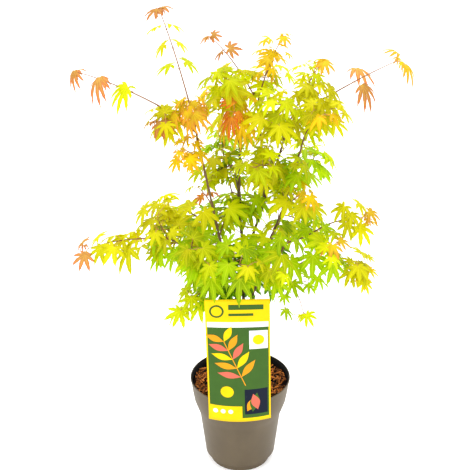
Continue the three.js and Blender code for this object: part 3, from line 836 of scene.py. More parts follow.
def finish_piece(piece):
    """Smooth shading, and the piece rides on the object's one body."""
    bpy.ops.object.select_all(action="DESELECT")
    piece.select_set(True)
    bpy.context.view_layer.objects.active = piece
    bpy.ops.object.shade_smooth_by_angle(angle=SMOOTH_ANGLE)
    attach(piece, "root")
    return piece


class Heap:
    """Many small meshes joined into one."""

    def __init__(self):
        self.corners, self.faces, self.values, self.count = [], [], [], 0

    def add(self, corners, faces, values):
        """Adds one mesh with a value for each corner."""
        self.corners.append(corners)
        self.faces.extend([[at + self.count for at in face] for face in faces])
        self.values.append(values)
        self.count += len(corners)

    def all(self):
        """The joined corners, faces and values."""
        return np.concatenate(self.corners), self.faces, np.concatenate(self.values)


def tube(path, radius_at, sides, steps):
    """A closed tube along a path, its radius given at a share of the path and an angle."""
    shares = np.linspace(0, 1, steps + 1)
    angles = np.arange(sides) * 2 * math.pi / sides
    rings = []
    chord = path.at(1) - path.at(0)
    guide = np.array([0, 1, 0]) if abs(unit(chord)[2]) > STEEP_CHORD else np.array([0, 0, 1])
    for share in shares:
        along = path.tangent(share)
        across = unit(np.cross(along, guide))
        upward = np.cross(across, along)
        radius = radius_at(share, angles)
        ring = path.at(share) + np.outer(radius * np.cos(angles), across)
        rings.append(ring + np.outer(radius * np.sin(angles), upward))
    faces = []
    for ring in range(steps):
        for side in range(sides):
            low, after = ring * sides, (side + 1) % sides
            faces.append([low + side, low + sides + side, low + sides + after, low + after])
    faces.append(list(range(sides)))
    faces.append([steps * sides + side for side in reversed(range(sides))])
    return np.concatenate(rings), faces


def plain_tube(path, radius, sides, steps):
    """A closed tube of one radius along a path."""
    return tube(path, lambda share, angles: np.full(len(angles), radius), sides, steps)


def leaf_faces():
    """The faces of every leaf: corners are the base, then each lobe's rib, its left and
    right teeth and tooth backs, and last the sinuses between the lobes."""
    lobes = 2 * len(LEAF_LOBES) - 1
    ribs, teeth = len(RIB), len(TEETH)
    per_lobe = ribs + 4 * teeth
    sinuses = 1 + lobes * per_lobe
    faces = []
    for lobe in range(lobes):
        rib = [1 + lobe * per_lobe + step for step in range(ribs)]
        for way in (0, 1):
            tooth = [rib[0] + ribs + way * 2 * teeth + step for step in range(teeth)]
            back = [at + teeth for at in tooth]
            sinus = sinuses + lobe + way
            half = [[0, rib[0], sinus], [rib[0], rib[1], tooth[0], sinus]]
            for step in range(1, teeth):
                edge = [tooth[step], back[step - 1], tooth[step - 1]]
                half.append([rib[step], rib[step + 1], *edge])
            half.append([rib[teeth], rib[teeth + 1], back[teeth - 1], tooth[teeth - 1]])
            faces.extend(half if way else [face[::-1] for face in half])
    return faces


def leaf_corners(leaf, width, fold, roll):
    """The corners of one leaf, and how far across and along its lobe each lies."""
    inner = len(LEAF_LOBES) - 1
    angles, lengths = [], []
    for at in range(-inner, inner + 1):
        angle, length = LEAF_LOBES[abs(at)]
        turn = (-1 if at < 0 else 1) * angle * leaf["opening"] + spread(roll, LOBE_TURN_SCATTER)
        angles.append(math.radians(turn))
        lengths.append(length * (1 + spread(roll, LOBE_LENGTH_SCATTER)))
    rows = [(0, 0, 0, 0, 0)]
    for angle, length in zip(angles, lengths):
        ahead = np.array([math.sin(angle), math.cos(angle)])
        beside = np.array([math.cos(angle), -math.sin(angle)])
        half = width * length**LOBE_POWER
        rows.extend((*ahead * share * length, 0, 0, share) for share in RIB)
        for way in (-1, 1):
            for share, reach in (*TEETH, *TOOTH_BACKS):
                place = ahead * share * length + beside * way * half * reach
                rows.append((*place, fold * half * reach, 1, share))
    outer, short = OUTER_SINUS
    outer = math.radians(outer) * leaf["opening"]
    edges = [(-outer, short)]
    for index in range(len(angles) - 1):
        reach = SINUS * min(lengths[index], lengths[index + 1]) ** 0.5
        edges.append(((angles[index] + angles[index + 1]) / 2, reach))
    edges.append((outer, short))
    for angle, reach in edges:
        place = np.array([math.sin(angle), math.cos(angle)]) * reach
        rows.append((*place, fold * SINUS_RISE, 1, reach))
    rows = np.array(rows, float)
    aside, ahead, rise, across, along = rows.T
    drop = leaf["droop"] * np.linalg.norm(rows[:, :2], axis=1) ** 2 - rise
    size = leaf["size"]
    corners = (
        leaf["base"]
        + np.outer(aside * size, leaf["side"])
        + np.outer(ahead * size, leaf["forward"])
        - np.outer(drop * size, leaf["normal"])
    )
    return corners, across, along


# Materials.


def principled(name, roughness, gloss=0.5):
    """A material with its shader, and short names for its tree."""
    material = bpy.data.materials.new(name)
    material.use_nodes = True
    nodes, links = material.node_tree.nodes, material.node_tree.links
    shader = nodes["Principled BSDF"]
    shader.inputs["Roughness"].default_value = roughness
    shader.inputs["Specular IOR Level"].default_value = gloss
    return material, nodes, links, shader


def new_node(nodes, kind, values=(), **settings):
    """A node with its settings, and values by the name or number of its inputs."""
    node = nodes.new(kind)
    for name, setting in settings.items():
        setattr(node, name, setting)
    for label, value in dict(values).items():
        node.inputs[label].default_value = value
    return node


def new_group(name, inputs, outputs):
    """An empty shader group with named inputs and outputs."""
    group = bpy.data.node_groups.new(name, "ShaderNodeTree")
    for label, kind, value in inputs:
        socket = group.interface.new_socket(name=label, in_out="INPUT", socket_type=kind)
        socket.default_value = value
    for label, kind in outputs:
        group.interface.new_socket(name=label, in_out="OUTPUT", socket_type=kind)
    nodes = group.nodes
    return group, nodes.new("NodeGroupInput"), nodes.new("NodeGroupOutput")


def mix_colours(nodes, links, share, one, other):
    """A node that mixes two colours by a share; each may be a socket or a value."""
    node = new_node(nodes, "ShaderNodeMix", data_type="RGBA")
    for socket, source in ((node.inputs[0], share), (node.inputs[6], one), (node.inputs[7], other)):
        if isinstance(source, bpy.types.NodeSocket):
            links.new(source, socket)
        else:
            socket.default_value = source
    return node.outputs[2]


def mottle_group():
    """Two colours mixed in soft patches, with the patches as a height."""
    if "Mottle" in bpy.data.node_groups:
        return bpy.data.node_groups["Mottle"]
    group, given, made = new_group(
        "Mottle",
        [
            ("First", "NodeSocketColor", (1, 1, 1, 1)),
            ("Second", "NodeSocketColor", (0, 0, 0, 1)),
            ("Scale", "NodeSocketFloat", 100),
            ("Stretch", "NodeSocketVector", (1, 1, 1)),
            ("Sharpness", "NodeSocketFloat", 0.2),
        ],
        [("Colour", "NodeSocketColor"), ("Height", "NodeSocketFloat")],
    )
    nodes, links, given = group.nodes, group.links, given.outputs
    place = new_node(nodes, "ShaderNodeTexCoord")
    stretch = new_node(nodes, "ShaderNodeVectorMath", operation="MULTIPLY")
    noise = new_node(nodes, "ShaderNodeTexNoise", {"Detail": 6})
    low = new_node(nodes, "ShaderNodeMath", {1: 0.5, 2: 0.3}, operation="MULTIPLY_ADD")
    ramp = new_node(
        nodes, "ShaderNodeMapRange", {"From Max": 0.7}, interpolation_type="SMOOTHSTEP"
    )
    colour = mix_colours(nodes, links, ramp.outputs["Result"], given["First"], given["Second"])
    for source, socket in (
        (place.outputs["Object"], stretch.inputs[0]),
        (given["Stretch"], stretch.inputs[1]),
        (stretch.outputs[0], noise.inputs["Vector"]),
        (given["Scale"], noise.inputs["Scale"]),
        (given["Sharpness"], low.inputs[0]),
        (noise.outputs["Fac"], ramp.inputs["Value"]),
        (low.outputs[0], ramp.inputs["From Min"]),
        (colour, made.inputs["Colour"]),
        (noise.outputs["Fac"], made.inputs["Height"]),
    ):
        links.new(source, socket)
    return group


def mottle(nodes, first, second, scale, stretch=(1, 1, 1), sharpness=0.2):
    """The outputs of a mottle group in a material, with the group's own values."""
    values = {
        "First": (*first, 1),
        "Second": (*second, 1),
        "Scale": scale,
        "Stretch": stretch,
        "Sharpness": sharpness,
    }
    return new_node(nodes, "ShaderNodeGroup", values, node_tree=mottle_group()).outputs


def dress(nodes, links, shader, colour, height, strength, distance):
    """A base colour and a bump from a height, its distance in metres, on a shader."""
    links.new(colour, shader.inputs["Base Color"])
    bump = new_node(nodes, "ShaderNodeBump", {"Strength": strength, "Distance": distance})
    links.new(height, bump.inputs["Height"])
    links.new(bump.outputs[0], shader.inputs["Normal"])


def attribute_value(nodes, name):
    """The value of one of the mesh's attributes."""
    return new_node(nodes, "ShaderNodeAttribute", attribute_name=name).outputs["Fac"]


def shade(colour, factor):
    """A colour made darker or lighter."""
    return [min(part * factor, 1) for part in colour]


def blade_group():
    """A leaf's colour: from its palm to its tips, each leaf with its own tone, its ribs paler."""
    if "Blade" in bpy.data.node_groups:
        return bpy.data.node_groups["Blade"]
    group, given, made = new_group(
        "Blade",
        [
            ("Palm", "NodeSocketColor", (1, 1, 1, 1)),
            ("Tip", "NodeSocketColor", (0, 0, 0, 1)),
            ("Deep", "NodeSocketColor", (0, 0, 0, 1)),
            ("Rib", "NodeSocketColor", (1, 1, 1, 1)),
        ],
        [("Colour", "NodeSocketColor"), ("Height", "NodeSocketFloat")],
    )
    nodes, links, given = group.nodes, group.links, given.outputs

    def mask(attribute, low, high, first, last):
        values = {"From Min": low, "From Max": high, "To Min": first, "To Max": last}
        ramp = new_node(nodes, "ShaderNodeMapRange", values)
        links.new(attribute_value(nodes, attribute), ramp.inputs["Value"])
        return ramp.outputs[0]

    rib = mask("across", low=0.04, high=0.2, first=0.55, last=0)
    near_tip = mask("along", low=0.3, high=1, first=0, last=1)
    tipped = mix_colours(nodes, links, near_tip, given["Palm"], given["Tip"])
    own_tone = mask("tone", low=0, high=1, first=0, last=0.75)
    toned = mix_colours(nodes, links, own_tone, tipped, given["Deep"])
    ribbed = mix_colours(nodes, links, rib, toned, given["Rib"])
    links.new(ribbed, made.inputs["Colour"])
    links.new(rib, made.inputs["Height"])
    return group


def leaf_material(tint, palm, tip):
    """A thin leaf: a soft gloss on top, and light that comes through."""
    material, nodes, links, shader = principled(f"leaf_{tint}", roughness=0.5, gloss=0.15)
    patches = mottle(nodes, palm, shade(palm, PATCHY), scale=60)
    palm, tip = np.array(palm), np.array(tip)
    values = {
        "Tip": (*tip, 1),
        "Deep": (*shade(mix(palm, tip, 0.5), DEEP), 1),
        "Rib": (*mix(palm, np.array(RIB_COLOUR), RIB_TURN), 1),
    }
    blade = new_node(nodes, "ShaderNodeGroup", values, node_tree=blade_group())
    links.new(patches["Colour"], blade.inputs["Palm"])
    colour, height = blade.outputs
    dress(nodes, links, shader, colour, height, strength=0.4, distance=0.0004)
    through = new_node(nodes, "ShaderNodeBsdfTranslucent")
    links.new(colour, through.inputs["Color"])
    both = new_node(nodes, "ShaderNodeMixShader", {0: LIGHT_THROUGH})
    links.new(shader.outputs[0], both.inputs[1])
    links.new(through.outputs[0], both.inputs[2])
    links.new(both.outputs[0], nodes["Material Output"].inputs["Surface"])
    return material


def wood_material(name, old, young):
    """Bark that turns from old wood to young wood by the mesh's age."""
    material, nodes, links, shader = principled(name, roughness=0.7)
    dark = mottle(nodes, old, shade(old, 0.45), scale=260, stretch=(1, 1, 0.35))
    fresh = mottle(nodes, young, shade(young, 0.7), scale=300, stretch=(1, 1, 0.3))
    age = attribute_value(nodes, "age")
    colour = mix_colours(nodes, links, age, fresh["Colour"], dark["Colour"])
    dress(nodes, links, shader, colour, dark["Height"], strength=0.5, distance=0.0006)
    return material


def plastic_material(name, colour, roughness):
    """Matt moulded plastic with faint scuffs and a fine grain."""
    material, nodes, links, shader = principled(name, roughness, gloss=0.25)
    scuffs = mottle(
        nodes, colour, shade(colour, 0.86), scale=24, stretch=(1, 1, 0.6), sharpness=0.1
    )
    grain = mottle(nodes, colour, colour, scale=1400)
    colour, height = scuffs["Colour"], grain["Height"]
    dress(nodes, links, shader, colour, height, strength=0.15, distance=0.0003)
    return material


def mulch_material(name, light, dark):
    """Shredded bark: each chip has its own shade."""
    material, nodes, links, shader = principled(name, roughness=0.8, gloss=0.15)
    fibre = mottle(nodes, light, shade(light, 0.5), scale=500)
    own = attribute_value(nodes, "own_shade")
    colour = mix_colours(nodes, links, own, (*dark, 1), fibre["Colour"])
    dress(nodes, links, shader, colour, fibre["Height"], strength=0.6, distance=0.0008)
    return material


def print_of(colours, name):
    """The card's ink of that name: printed, lightly glossy card."""
    label = f"card_{name}"
    if label in bpy.data.materials:
        return bpy.data.materials[label]
    colour = getattr(colours, label)
    material, nodes, links, shader = principled(label, roughness=0.35, gloss=0.1)
    ink = mottle(nodes, colour, shade(colour, 0.93), scale=40)
    colour, height = ink["Colour"], ink["Height"]
    dress(nodes, links, shader, colour, height, strength=0.05, distance=0.0002)
    return material


# Operators.


def start_piece(add, **where):
    """A primitive added with nothing else selected, in edit mode with all of it selected."""
    bpy.ops.object.select_all(action="DESELECT")
    add(**where)
    bpy.ops.object.mode_set(mode="EDIT")
    bpy.ops.mesh.select_all(action="SELECT")
    return bpy.context.object


class MAPLE_OT_add_pot(bpy.types.Operator):
    """Add the round nursery pot: outside, rim, inside and floor in one shell"""

    bl_idname = "maple.add_pot"
    bl_label = "Pot"

    def execute(self, context):
        colours, sizes = context.scene.maple_colours, context.scene.maple_sizes
        pot = start_piece(
            bpy.ops.mesh.primitive_circle_add,
            vertices=sizes.pot_sides,
            radius=POT_FOOT_RADIUS * MM,
            fill_type="NGON",
        )
        inside = [(radius - POT_WALL, height) for radius, height in reversed(POT_OUTSIDE)]
        floor = (POT_FOOT_RADIUS - POT_WALL, POT_FLOOR)
        profile = [*POT_STEP, *POT_OUTSIDE, *inside, *POT_STEP_INSIDE, floor]
        width, level = POT_FOOT_RADIUS, 0
        for radius, height in profile:
            rise = (0, 0, (height - level) * MM)
            bpy.ops.mesh.extrude_region_move(TRANSFORM_OT_translate={"value": rise})
            scale = radius / width
            bpy.ops.transform.resize(value=(scale, scale, 1), center_override=(0, 0, 0))
            width, level = radius, height
        bpy.ops.mesh.select_all(action="SELECT")
        bpy.ops.mesh.normals_make_consistent(inside=False)
        bpy.ops.object.mode_set(mode="OBJECT")
        pot.name = pot.data.name = "nursery_pot"
        for name, roughness in (("pot_outside", 0.5), ("pot_inside", 0.8)):
            skin = plastic_material(name, getattr(colours, name), roughness)
            pot.data.materials.append(skin)
        for face in pot.data.polygons:
            outward = Vector((face.center.x, face.center.y, 0)).dot(face.normal)
            floor = face.normal.z > 0.9 and face.center.z < 0.1
            face.material_index = int(outward < -1e-4 or floor)
        finish_piece(pot)
        soften = pot.modifiers.new("Soften", "BEVEL")
        soften.width, soften.segments = POT_EDGE * MM, POT_EDGE_STEPS
        soften.angle_limit = POT_EDGE_ANGLE
        bpy.ops.object.modifier_apply(modifier=soften.name)
        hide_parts("pot")
        return {"FINISHED"}


class MAPLE_OT_add_mulch(bpy.types.Operator):
    """Add the soil in the pot and the shredded bark that lies on it"""

    bl_idname = "maple.add_mulch"
    bl_label = "Mulch"

    def execute(self, context):
        colours, sizes = context.scene.maple_colours, context.scene.maple_sizes
        material = mulch_material("mulch", colours.chip_light, colours.chip_dark)
        roll = np.random.default_rng(MULCH_SEED)
        corners, faces = [[0, 0, SOIL_TOP]], []
        for ring in range(1, BED_RINGS + 1):
            for side in range(BED_SIDES):
                angle = 2 * math.pi * side / BED_SIDES
                radius = SOIL_RADIUS * ring / BED_RINGS
                rough = roll.uniform(*BED_ROUGHNESS) if radius > TRUNK_CLEAR else 0
                height = SOIL_TOP - BED_DEPTH + rough
                corners.append([radius * math.cos(angle), radius * math.sin(angle), height])
        for side in range(BED_SIDES):
            after = (side + 1) % BED_SIDES
            faces.append([0, 1 + side, 1 + after])
            for ring in range(BED_RINGS - 1):
                low = 1 + ring * BED_SIDES
                high = low + BED_SIDES
                faces.append([low + side, high + side, high + after, low + after])
        # The bed below the chips has the dark chip colour: partly the soil's own dark, partly
        # painted shade in the gaps between the chips.
        shades = [("own_shade", np.zeros(len(corners)))]
        bed = new_piece("mulch_bed", corners, faces, [material], shades)
        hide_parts("soil")
        heap = Heap()
        for _ in range(sizes.chip_count):
            radius = (SOIL_RADIUS - CHIP_CLEAR) * math.sqrt(roll.uniform(CHIP_FREE, 1))
            angle = roll.uniform(0, 2 * math.pi)
            height = SOIL_TOP + roll.uniform(*CHIP_HEIGHTS)
            spot = np.array([radius * math.cos(angle), radius * math.sin(angle), height])
            heap.add(*self.chip(roll, spot, sizes.chip_length / MM))
        corners, faces, shades = heap.all()
        chips = new_piece("mulch_chips", corners, faces, [material], [("own_shade", shades)])
        return {"FINISHED"}

    def chip(self, roll, spot, mean):
        """A bent sliver of bark as corners, faces and its shade."""
        length, width = mean * roll.uniform(*CHIP_LENGTHS), roll.uniform(*CHIP_WIDTHS)
        heading, tilt = roll.uniform(0, 2 * math.pi), roll.normal(0, CHIP_TILT)
        spin = roll.uniform(0, math.pi)
        level = math.cos(tilt)
        along = np.array([math.cos(heading) * level, math.sin(heading) * level, math.sin(tilt)])
        across = unit(np.cross(along, [0, 0, 1]))
        upward = np.cross(across, along)
        half = along[:2] * length / 2
        farthest = max(np.hypot(*(spot[:2] + half)), np.hypot(*(spot[:2] - half)))
        if farthest > SOIL_RADIUS - CHIP_EDGE:
            length *= CHIP_CUT
        bend = roll.normal(0, CHIP_BEND) * length
        corners = []
        for share in (-0.5, 0, 0.5):
            middle = spot + along * length * share + upward * bend * (1 - 4 * share * share)
            thick = width * (1 if share == 0 else roll.uniform(*CHIP_ENDS))
            for side in range(4):
                angle = spin + side * math.pi / 2
                aside = across * thick * math.cos(angle)
                corners.append(middle + aside + upward * CHIP_FLATNESS * thick * math.sin(angle))
        faces = [[0, 1, 2, 3], [11, 10, 9, 8]]
        for ring in (0, 4):
            for side in range(4):
                after = (side + 1) % 4
                faces.append([ring + after, ring + side, ring + 4 + side, ring + 4 + after])
        return np.array(corners), faces, np.full(len(corners), roll.beta(*CHIP_SHADES))


def on_card(across, up, lift):
    """A place on the card from its middle, lifted off the middle of its sheet."""
    cosine, sine = math.cos(CARD_TILT), math.sin(CARD_TILT)
    x = CARD_CENTRE_X + across * cosine - up * sine
    z = (CARD_FOOT + CARD_HEAD) / 2 + across * sine + up * cosine
    return x, card_depth(x, z) - lift, z


class MAPLE_OT_add_card(bpy.types.Operator):
    """Add the picture card with its printed fields, and the tab that clips it to the rim"""

    bl_idname = "maple.add_card"
    bl_label = "Picture card"

    def execute(self, context):
        colours = context.scene.maple_colours
        height = CARD_HEAD - CARD_FOOT
        card = self.start_sheet(CARD_COLUMNS, 2, CARD_WIDTH, height)
        rows = np.arange(CARD_ROW - height / 2, height / 2, CARD_ROW)
        for level in (*[level for level, _ in CARD_FIELDS[:-1]], *rows):
            bpy.ops.mesh.select_all(action="SELECT")
            bpy.ops.mesh.bisect(plane_co=(0, level * MM, 0), plane_no=(0, 1, 0))
        bpy.ops.object.mode_set(mode="OBJECT")
        names = ("yellow", "green", "white")
        for face in card.data.polygons:
            field = next(name for level, name in CARD_FIELDS if face.center.y / MM < level)
            face.material_index = names.index(field)
        for corner in card.data.vertices:
            corner.co = Vector(on_card(corner.co.x / MM, corner.co.y / MM, 0)) * MM
        self.finish_sheet(card, "plant_card", [print_of(colours, name) for name in names])
        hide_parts("card")
        steps = len(TAB_PATH) - 1
        tab = self.start_sheet(TAB_COLUMNS, steps, TAB_WIDTH, steps)
        bpy.ops.object.mode_set(mode="OBJECT")
        for corner in tab.data.vertices:
            y, z = TAB_PATH[round(corner.co.y / MM + steps / 2)]
            corner.co = Vector((corner.co.x / MM + CARD_CENTRE_X, y, z)) * MM
        self.finish_sheet(tab, "card_tab", [print_of(colours, "white")])
        return {"FINISHED"}

    def start_sheet(self, columns, rows, width, height):
        """A flat grid about the origin in edit mode, its sizes in millimetres."""
        add = bpy.ops.mesh.primitive_grid_add
        sheet = start_piece(add, x_subdivisions=columns, y_subdivisions=rows, size=1)
        bpy.ops.transform.resize(value=(width * MM, height * MM, 1), center_override=(0, 0, 0))
        return sheet

    def finish_sheet(self, sheet, name, materials):
        """The sheet gets its thickness, name and materials."""
        sheet.name = sheet.data.name = name
        for material in materials:
            sheet.data.materials.append(material)
        finish_piece(sheet)
        wall = sheet.modifiers.new("Wall", "SOLIDIFY")
        wall.thickness, wall.offset = CARD_THICKNESS * MM, 0
        bpy.ops.object.modifier_apply(modifier=wall.name)


class MAPLE_OT_add_print(bpy.types.Operator):
    """Add the plain shapes and the sprig that are printed on the card"""

    bl_idname = "maple.add_print"
    bl_label = "Card print"

    def execute(self, context):
        colours = context.scene.maple_colours
        names = ("yellow", "green", "white", "dark", "coral", "orange")
        corners, faces, inks = [], [], []
        for number, (outline, ink, *place) in enumerate([*CARD_PATCHES, *self.sprig()]):
            patch, patch_faces = self.patch(outline, *place, PATCH_FRONT + PATCH_STACK * number)
            faces.extend([[at + len(corners) for at in face] for face in patch_faces])
            corners.extend(patch)
            inks.extend([names.index(ink)] * len(patch_faces))
        materials = [print_of(colours, name) for name in names]
        piece = new_piece("card_print", corners, faces, materials, face_materials=inks)
        return {"FINISHED"}

    def sprig(self):
        """The printed sprig's stem and its leaves, in the form of the patches."""
        patches = [("bar", "orange", SPRIG_FOOT, SPRIG_HEADING, SPRIG_LENGTH, SPRIG_STEM)]
        turn = math.radians(SPRIG_HEADING)
        longest, half = SPRIG_LEAF
        widest, closer = SPRIG_ANGLES
        for node in range(SPRIG_NODES):
            reach = SPRIG_LENGTH * (node + 1) / SPRIG_NODES
            foot = (SPRIG_FOOT[0] + reach * math.sin(turn), SPRIG_FOOT[1] + reach * math.cos(turn))
            length = longest * (1 - SPRIG_TAPER * node)
            for way in (-1, 1):
                ink = ("coral", "orange", "yellow")[(node + (way > 0)) % 3]
                heading = SPRIG_HEADING + way * (widest - closer * node)
                patches.append(("leaf", ink, foot, heading, length, half))
        return patches

    def patch(self, outline, foot, heading, length, half, lift):
        """A thin closed patch on the card's front as corners and faces."""
        turn = math.radians(heading)
        ahead, beside = (math.sin(turn), math.cos(turn)), (math.cos(turn), -math.sin(turn))
        swells = {
            "bar": lambda share: 1,
            "disc": lambda share: 2 * math.sqrt(max(share * (1 - share), 1e-6)),
            "leaf": lambda share: max(math.sin(math.pi * share) ** 1.2, 1e-3),
        }
        steps, columns = PATCH_STEPS, PATCH_COLUMNS
        corners = []
        for level in (CARD_THICKNESS / 2 + PATCH_BACK, CARD_THICKNESS / 2 + lift):
            for step in range(steps + 1):
                share = step / steps
                if outline == "disc":
                    share = (1 - math.cos(math.pi * share)) / 2
                swell = swells[outline](share)
                for column in range(columns + 1):
                    width = half * swell * (2 * column / columns - 1)
                    across = foot[0] + ahead[0] * share * length + beside[0] * width
                    up = foot[1] + ahead[1] * share * length + beside[1] * width
                    corners.append(on_card(across, up, level))
        row, front = columns + 1, (steps + 1) * (columns + 1)
        faces = []
        for step in range(steps):
            for column in range(columns):
                at = step * row + column
                back = [at, at + row, at + row + 1, at + 1]
                faces.extend([back, [corner + front for corner in reversed(back)]])
        left = [step * row for step in range(steps + 1)]
        right = [at + columns for at in reversed(left)]
        last_row = range(steps * row + 1, steps * row + columns)
        ring = [*left, *last_row, *right, *range(columns - 1, 0, -1)]
        for here, after in zip(ring, [*ring[1:], ring[0]]):
            faces.append([here, here + front, after + front, after])
        return corners, faces


class MAPLE_OT_add_limbs(bpy.types.Operator):
    """Add the trunk, stems and boughs with the relief of their bark"""

    bl_idname = "maple.add_limbs"
    bl_label = "Trunk and boughs"

    def execute(self, context):
        colours, sizes = context.scene.maple_colours, context.scene.maple_sizes
        relief = sizes.bark_relief / MM
        heap = Heap()
        limbs = grow_limbs()
        for number, limb in enumerate(limbs.values()):
            length = limb["path"].length()
            sides = LIMB_SIDES if limb["parent"] else TRUNK_SIDES
            steps = int(length / LIMB_STEP)
            radius_at = self.bark(limb, length, relief, np.random.default_rng(number))
            corners, faces = tube(limb["path"], radius_at, sides, steps)
            age = np.repeat(mix(*self.ages(limb), np.linspace(0, 1, steps + 1)), sides)
            heap.add(corners, faces, age)
        for name, share, tip, radius in STUBS:
            path = straight(limbs[name]["path"].at(share), np.array(tip, float))
            corners, faces = plain_tube(path, radius, LIMB_SIDES, STUB_STEPS)
            heap.add(corners, faces, np.ones(len(corners)))
        corners, faces, age = heap.all()
        material = wood_material("bark", colours.bark, colours.young_wood)
        wood = new_piece("limbs", corners, faces, [material], [("age", age)])
        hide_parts(*[row[0] for row in LIMBS])
        return {"FINISHED"}

    def ages(self, limb):
        """How old the wood is at a limb's foot and tip, from 0 to 1."""
        if not limb["parent"]:
            return TRUNK_AGES
        foot, tip = OLD_RADII
        return min(1, limb["thick"] / foot), limb["thin"] / tip

    def bark(self, limb, length, relief, roll):
        """The radius of a limb at a share of its length and round its axis."""
        rings = np.arange(RING_FIRST, length, RING_GAP) / length
        waves = roll.uniform(0, 2 * math.pi, (BARK_WAVES, 2))
        twist, more = BARK_TWIST

        def radius_at(share, angles):
            radius = mix(limb["thick"], limb["thin"], share) * (SLIM if limb["parent"] else 1)
            along = share * length
            if limb["parent"]:
                radius = radius * (1 + COLLAR_SWELL * math.exp(-((along / COLLAR_LENGTH) ** 2)))
            else:
                fade = max(0, 1 - share / FLARE_SHARE) ** 2
                ridges = 1 - FLARE_DEPTH + FLARE_DEPTH * np.cos(FLARE_RIDGES * angles)
                radius = radius + FLARE * fade * ridges
            away = [(share - ring) * length / RING_WIDTH for ring in rings]
            radius = radius * (1 + RING_SWELL * sum(math.exp(-(gap**2)) for gap in away))
            rough = sum(
                np.sin((2 + at) * angles + along * (twist + more * at) + wave[0]) / (1 + at)
                for at, wave in enumerate(waves)
            )
            return radius + relief * rough * (1 if limb["parent"] else 2)

        return radius_at


class MAPLE_OT_add_twigs(bpy.types.Operator):
    """Add the sprays' stems and side twigs, and the stalks of the leaves"""

    bl_idname = "maple.add_twigs"
    bl_label = "Twigs and stalks"

    def execute(self, context):
        colours, sizes = context.scene.maple_colours, context.scene.maple_sizes
        thick, stalk = sizes.twig_radius / MM, sizes.stalk_radius / MM
        twigs, stalks = Heap(), Heap()
        for spray in grow_sprays(grow_limbs()):
            for twig in spray["twigs"]:
                foot, steps = thick * TWIG_RADII[twig["order"]], TWIG_STEPS[twig["order"]]

                def radius_at(share, angles, foot=foot):
                    return np.full(len(angles), mix(foot, TWIG_TAPER * foot, share))

                corners, faces = tube(twig["path"], radius_at, TWIG_SIDES, steps)
                age = np.repeat(mix(TWIG_AGE, 0, np.linspace(0, 1, steps + 1)), TWIG_SIDES)
                twigs.add(corners, faces, age)
            for leaf in spray["leaves"]:
                size = leaf["size"]
                knee = mix(leaf["root"], leaf["base"], 0.5) + np.array([0, 0, STALK_BOW * size])
                end = leaf["base"] + leaf["forward"] * STALK_LAP * size
                path = BentPath(leaf["root"], knee, end)
                corners, faces = plain_tube(path, stalk, STALK_SIDES, STALK_STEPS)
                stalks.add(corners, faces, np.zeros(len(corners)))
        young, fresh = colours.young_wood, colours.leaf_stalk
        for name, heap, material in (
            ("twigs", twigs, wood_material("young_wood", young, shade(young, 1.25))),
            ("leaf_stalks", stalks, wood_material("leaf_stalk", fresh, fresh)),
        ):
            corners, faces, age = heap.all()
            piece = new_piece(name, corners, faces, [material], [("age", age)])
        return {"FINISHED"}


class MAPLE_OT_add_leaves(bpy.types.Operator):
    """Add the leaves, one piece for each tint"""

    bl_idname = "maple.add_leaves"
    bl_label = "Leaves"

    def execute(self, context):
        colours, sizes = context.scene.maple_colours, context.scene.maple_sizes
        faces = leaf_faces()
        heaps = {tint: Heap() for tint in TINTS}
        for number, spray in enumerate(grow_sprays(grow_limbs())):
            roll = dice(number + LEAF_SEEDS)
            for leaf in spray["leaves"]:
                width = sizes.young_width if leaf["opening"] < 1 else sizes.lobe_width
                corners, across, along = leaf_corners(leaf, width, sizes.fold, roll)
                tone = np.full(len(corners), roll())
                heaps[leaf["tint"]].add(corners, faces, np.column_stack([across, along, tone]))
        for tint, heap in heaps.items():
            corners, all_faces, values = heap.all()
            palm, tip = getattr(colours, f"leaf_{tint}"), getattr(colours, f"tip_{tint}")
            material = leaf_material(tint, palm, tip)
            attributes = zip(("across", "along", "tone"), values.T)
            piece = new_piece(f"leaves_{tint}", corners, all_faces, [material], attributes)
            nodes = [f"spray_{name}" for name, *_, own, _ in SPRAYS if own == tint]
            if nodes:
                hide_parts(*nodes)
        return {"FINISHED"}


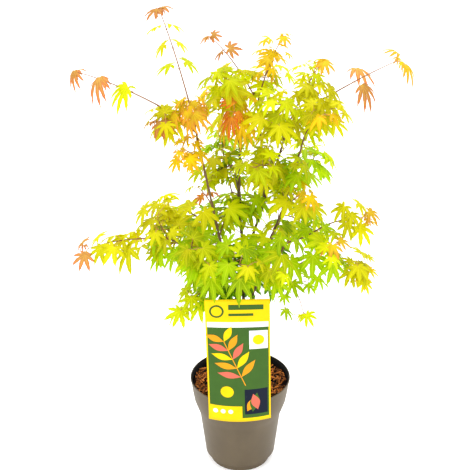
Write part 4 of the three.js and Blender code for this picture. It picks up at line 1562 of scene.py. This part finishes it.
class MAPLE_OT_add_stage(bpy.types.Operator):
    """Add the pale floor, the soft studio light and the camera at the photo's angle"""

    bl_idname = "maple.add_stage"
    bl_label = "Studio"

    def execute(self, context):
        scene = context.scene
        scene.view_settings.view_transform = "Standard"
        bpy.ops.object.select_all(action="DESELECT")
        bpy.ops.mesh.primitive_plane_add(size=FLOOR_SIZE, location=FLOOR_PLACE)
        floor = context.object
        floor.name = "floor"
        material, _, _, shader = principled("floor", roughness=0.9)
        shader.inputs["Base Color"].default_value = FLOOR_COLOUR
        shader.inputs["Emission Color"].default_value = WHITE
        shader.inputs["Emission Strength"].default_value = FLOOR_GLOW
        floor.data.materials.append(material)
        world = bpy.data.worlds.new("studio")
        world.use_nodes = True
        sky = world.node_tree.nodes["Background"].inputs
        sky["Color"].default_value, sky["Strength"].default_value = WHITE, SKY_STRENGTH
        scene.world = world
        for name, place, size, power in LIGHTS:
            bpy.ops.object.light_add(type="AREA", location=place)
            light = context.object
            light.name = name
            light.data.size, light.data.energy = size, power
            aim = Vector(LIGHT_AIM) - Vector(place)
            light.rotation_euler = aim.to_track_quat("-Z", "Y").to_euler()
        down = math.radians(90 - CAMERA_DOWN)
        bpy.ops.object.camera_add(location=CAMERA_PLACE, rotation=(down, 0, 0))
        camera = context.object
        camera.name = "camera"
        camera.data.sensor_width = SENSOR_WIDTH
        camera.data.lens = SENSOR_WIDTH * FOCAL_PIXELS / PICTURE_WIDTH
        camera.data.shift_x = SHIFT_PIXELS / PICTURE_WIDTH
        scene.camera = camera
        return {"FINISHED"}


STEPS = (
    MAPLE_OT_add_pot,
    MAPLE_OT_add_mulch,
    MAPLE_OT_add_card,
    MAPLE_OT_add_print,
    MAPLE_OT_add_limbs,
    MAPLE_OT_add_twigs,
    MAPLE_OT_add_leaves,
    MAPLE_OT_add_stage,
)


class MAPLE_PT_panel(bpy.types.Panel):
    """Buttons for the parts of the potted maple, and their sizes and colours"""

    bl_idname = "MAPLE_PT_panel"
    bl_label = "Potted maple"
    bl_space_type = "VIEW_3D"
    bl_region_type = "UI"
    bl_category = "Maple"

    def draw(self, context):
        for step in STEPS:
            self.layout.operator(step.bl_idname)
        for group in (context.scene.maple_sizes, context.scene.maple_colours):
            for name in group.__annotations__:
                self.layout.prop(group, name)


CLASSES = (MapleSizes, MapleColours, *STEPS, MAPLE_PT_panel)


def register():
    """Registers the classes and the scene's sizes and colours."""
    for item in CLASSES:
        bpy.utils.register_class(item)
    bpy.types.Scene.maple_sizes = PointerProperty(type=MapleSizes)
    bpy.types.Scene.maple_colours = PointerProperty(type=MapleColours)


def unregister():
    """Takes the classes and the scene's sizes and colours away."""
    del bpy.types.Scene.maple_sizes
    del bpy.types.Scene.maple_colours
    for item in reversed(CLASSES):
        bpy.utils.unregister_class(item)


def main():
    """Adds every part in order."""
    register()
    for step in STEPS:
        space, name = step.bl_idname.split(".")
        getattr(getattr(bpy.ops, space), name)()


if __name__ == "__main__":
    main()
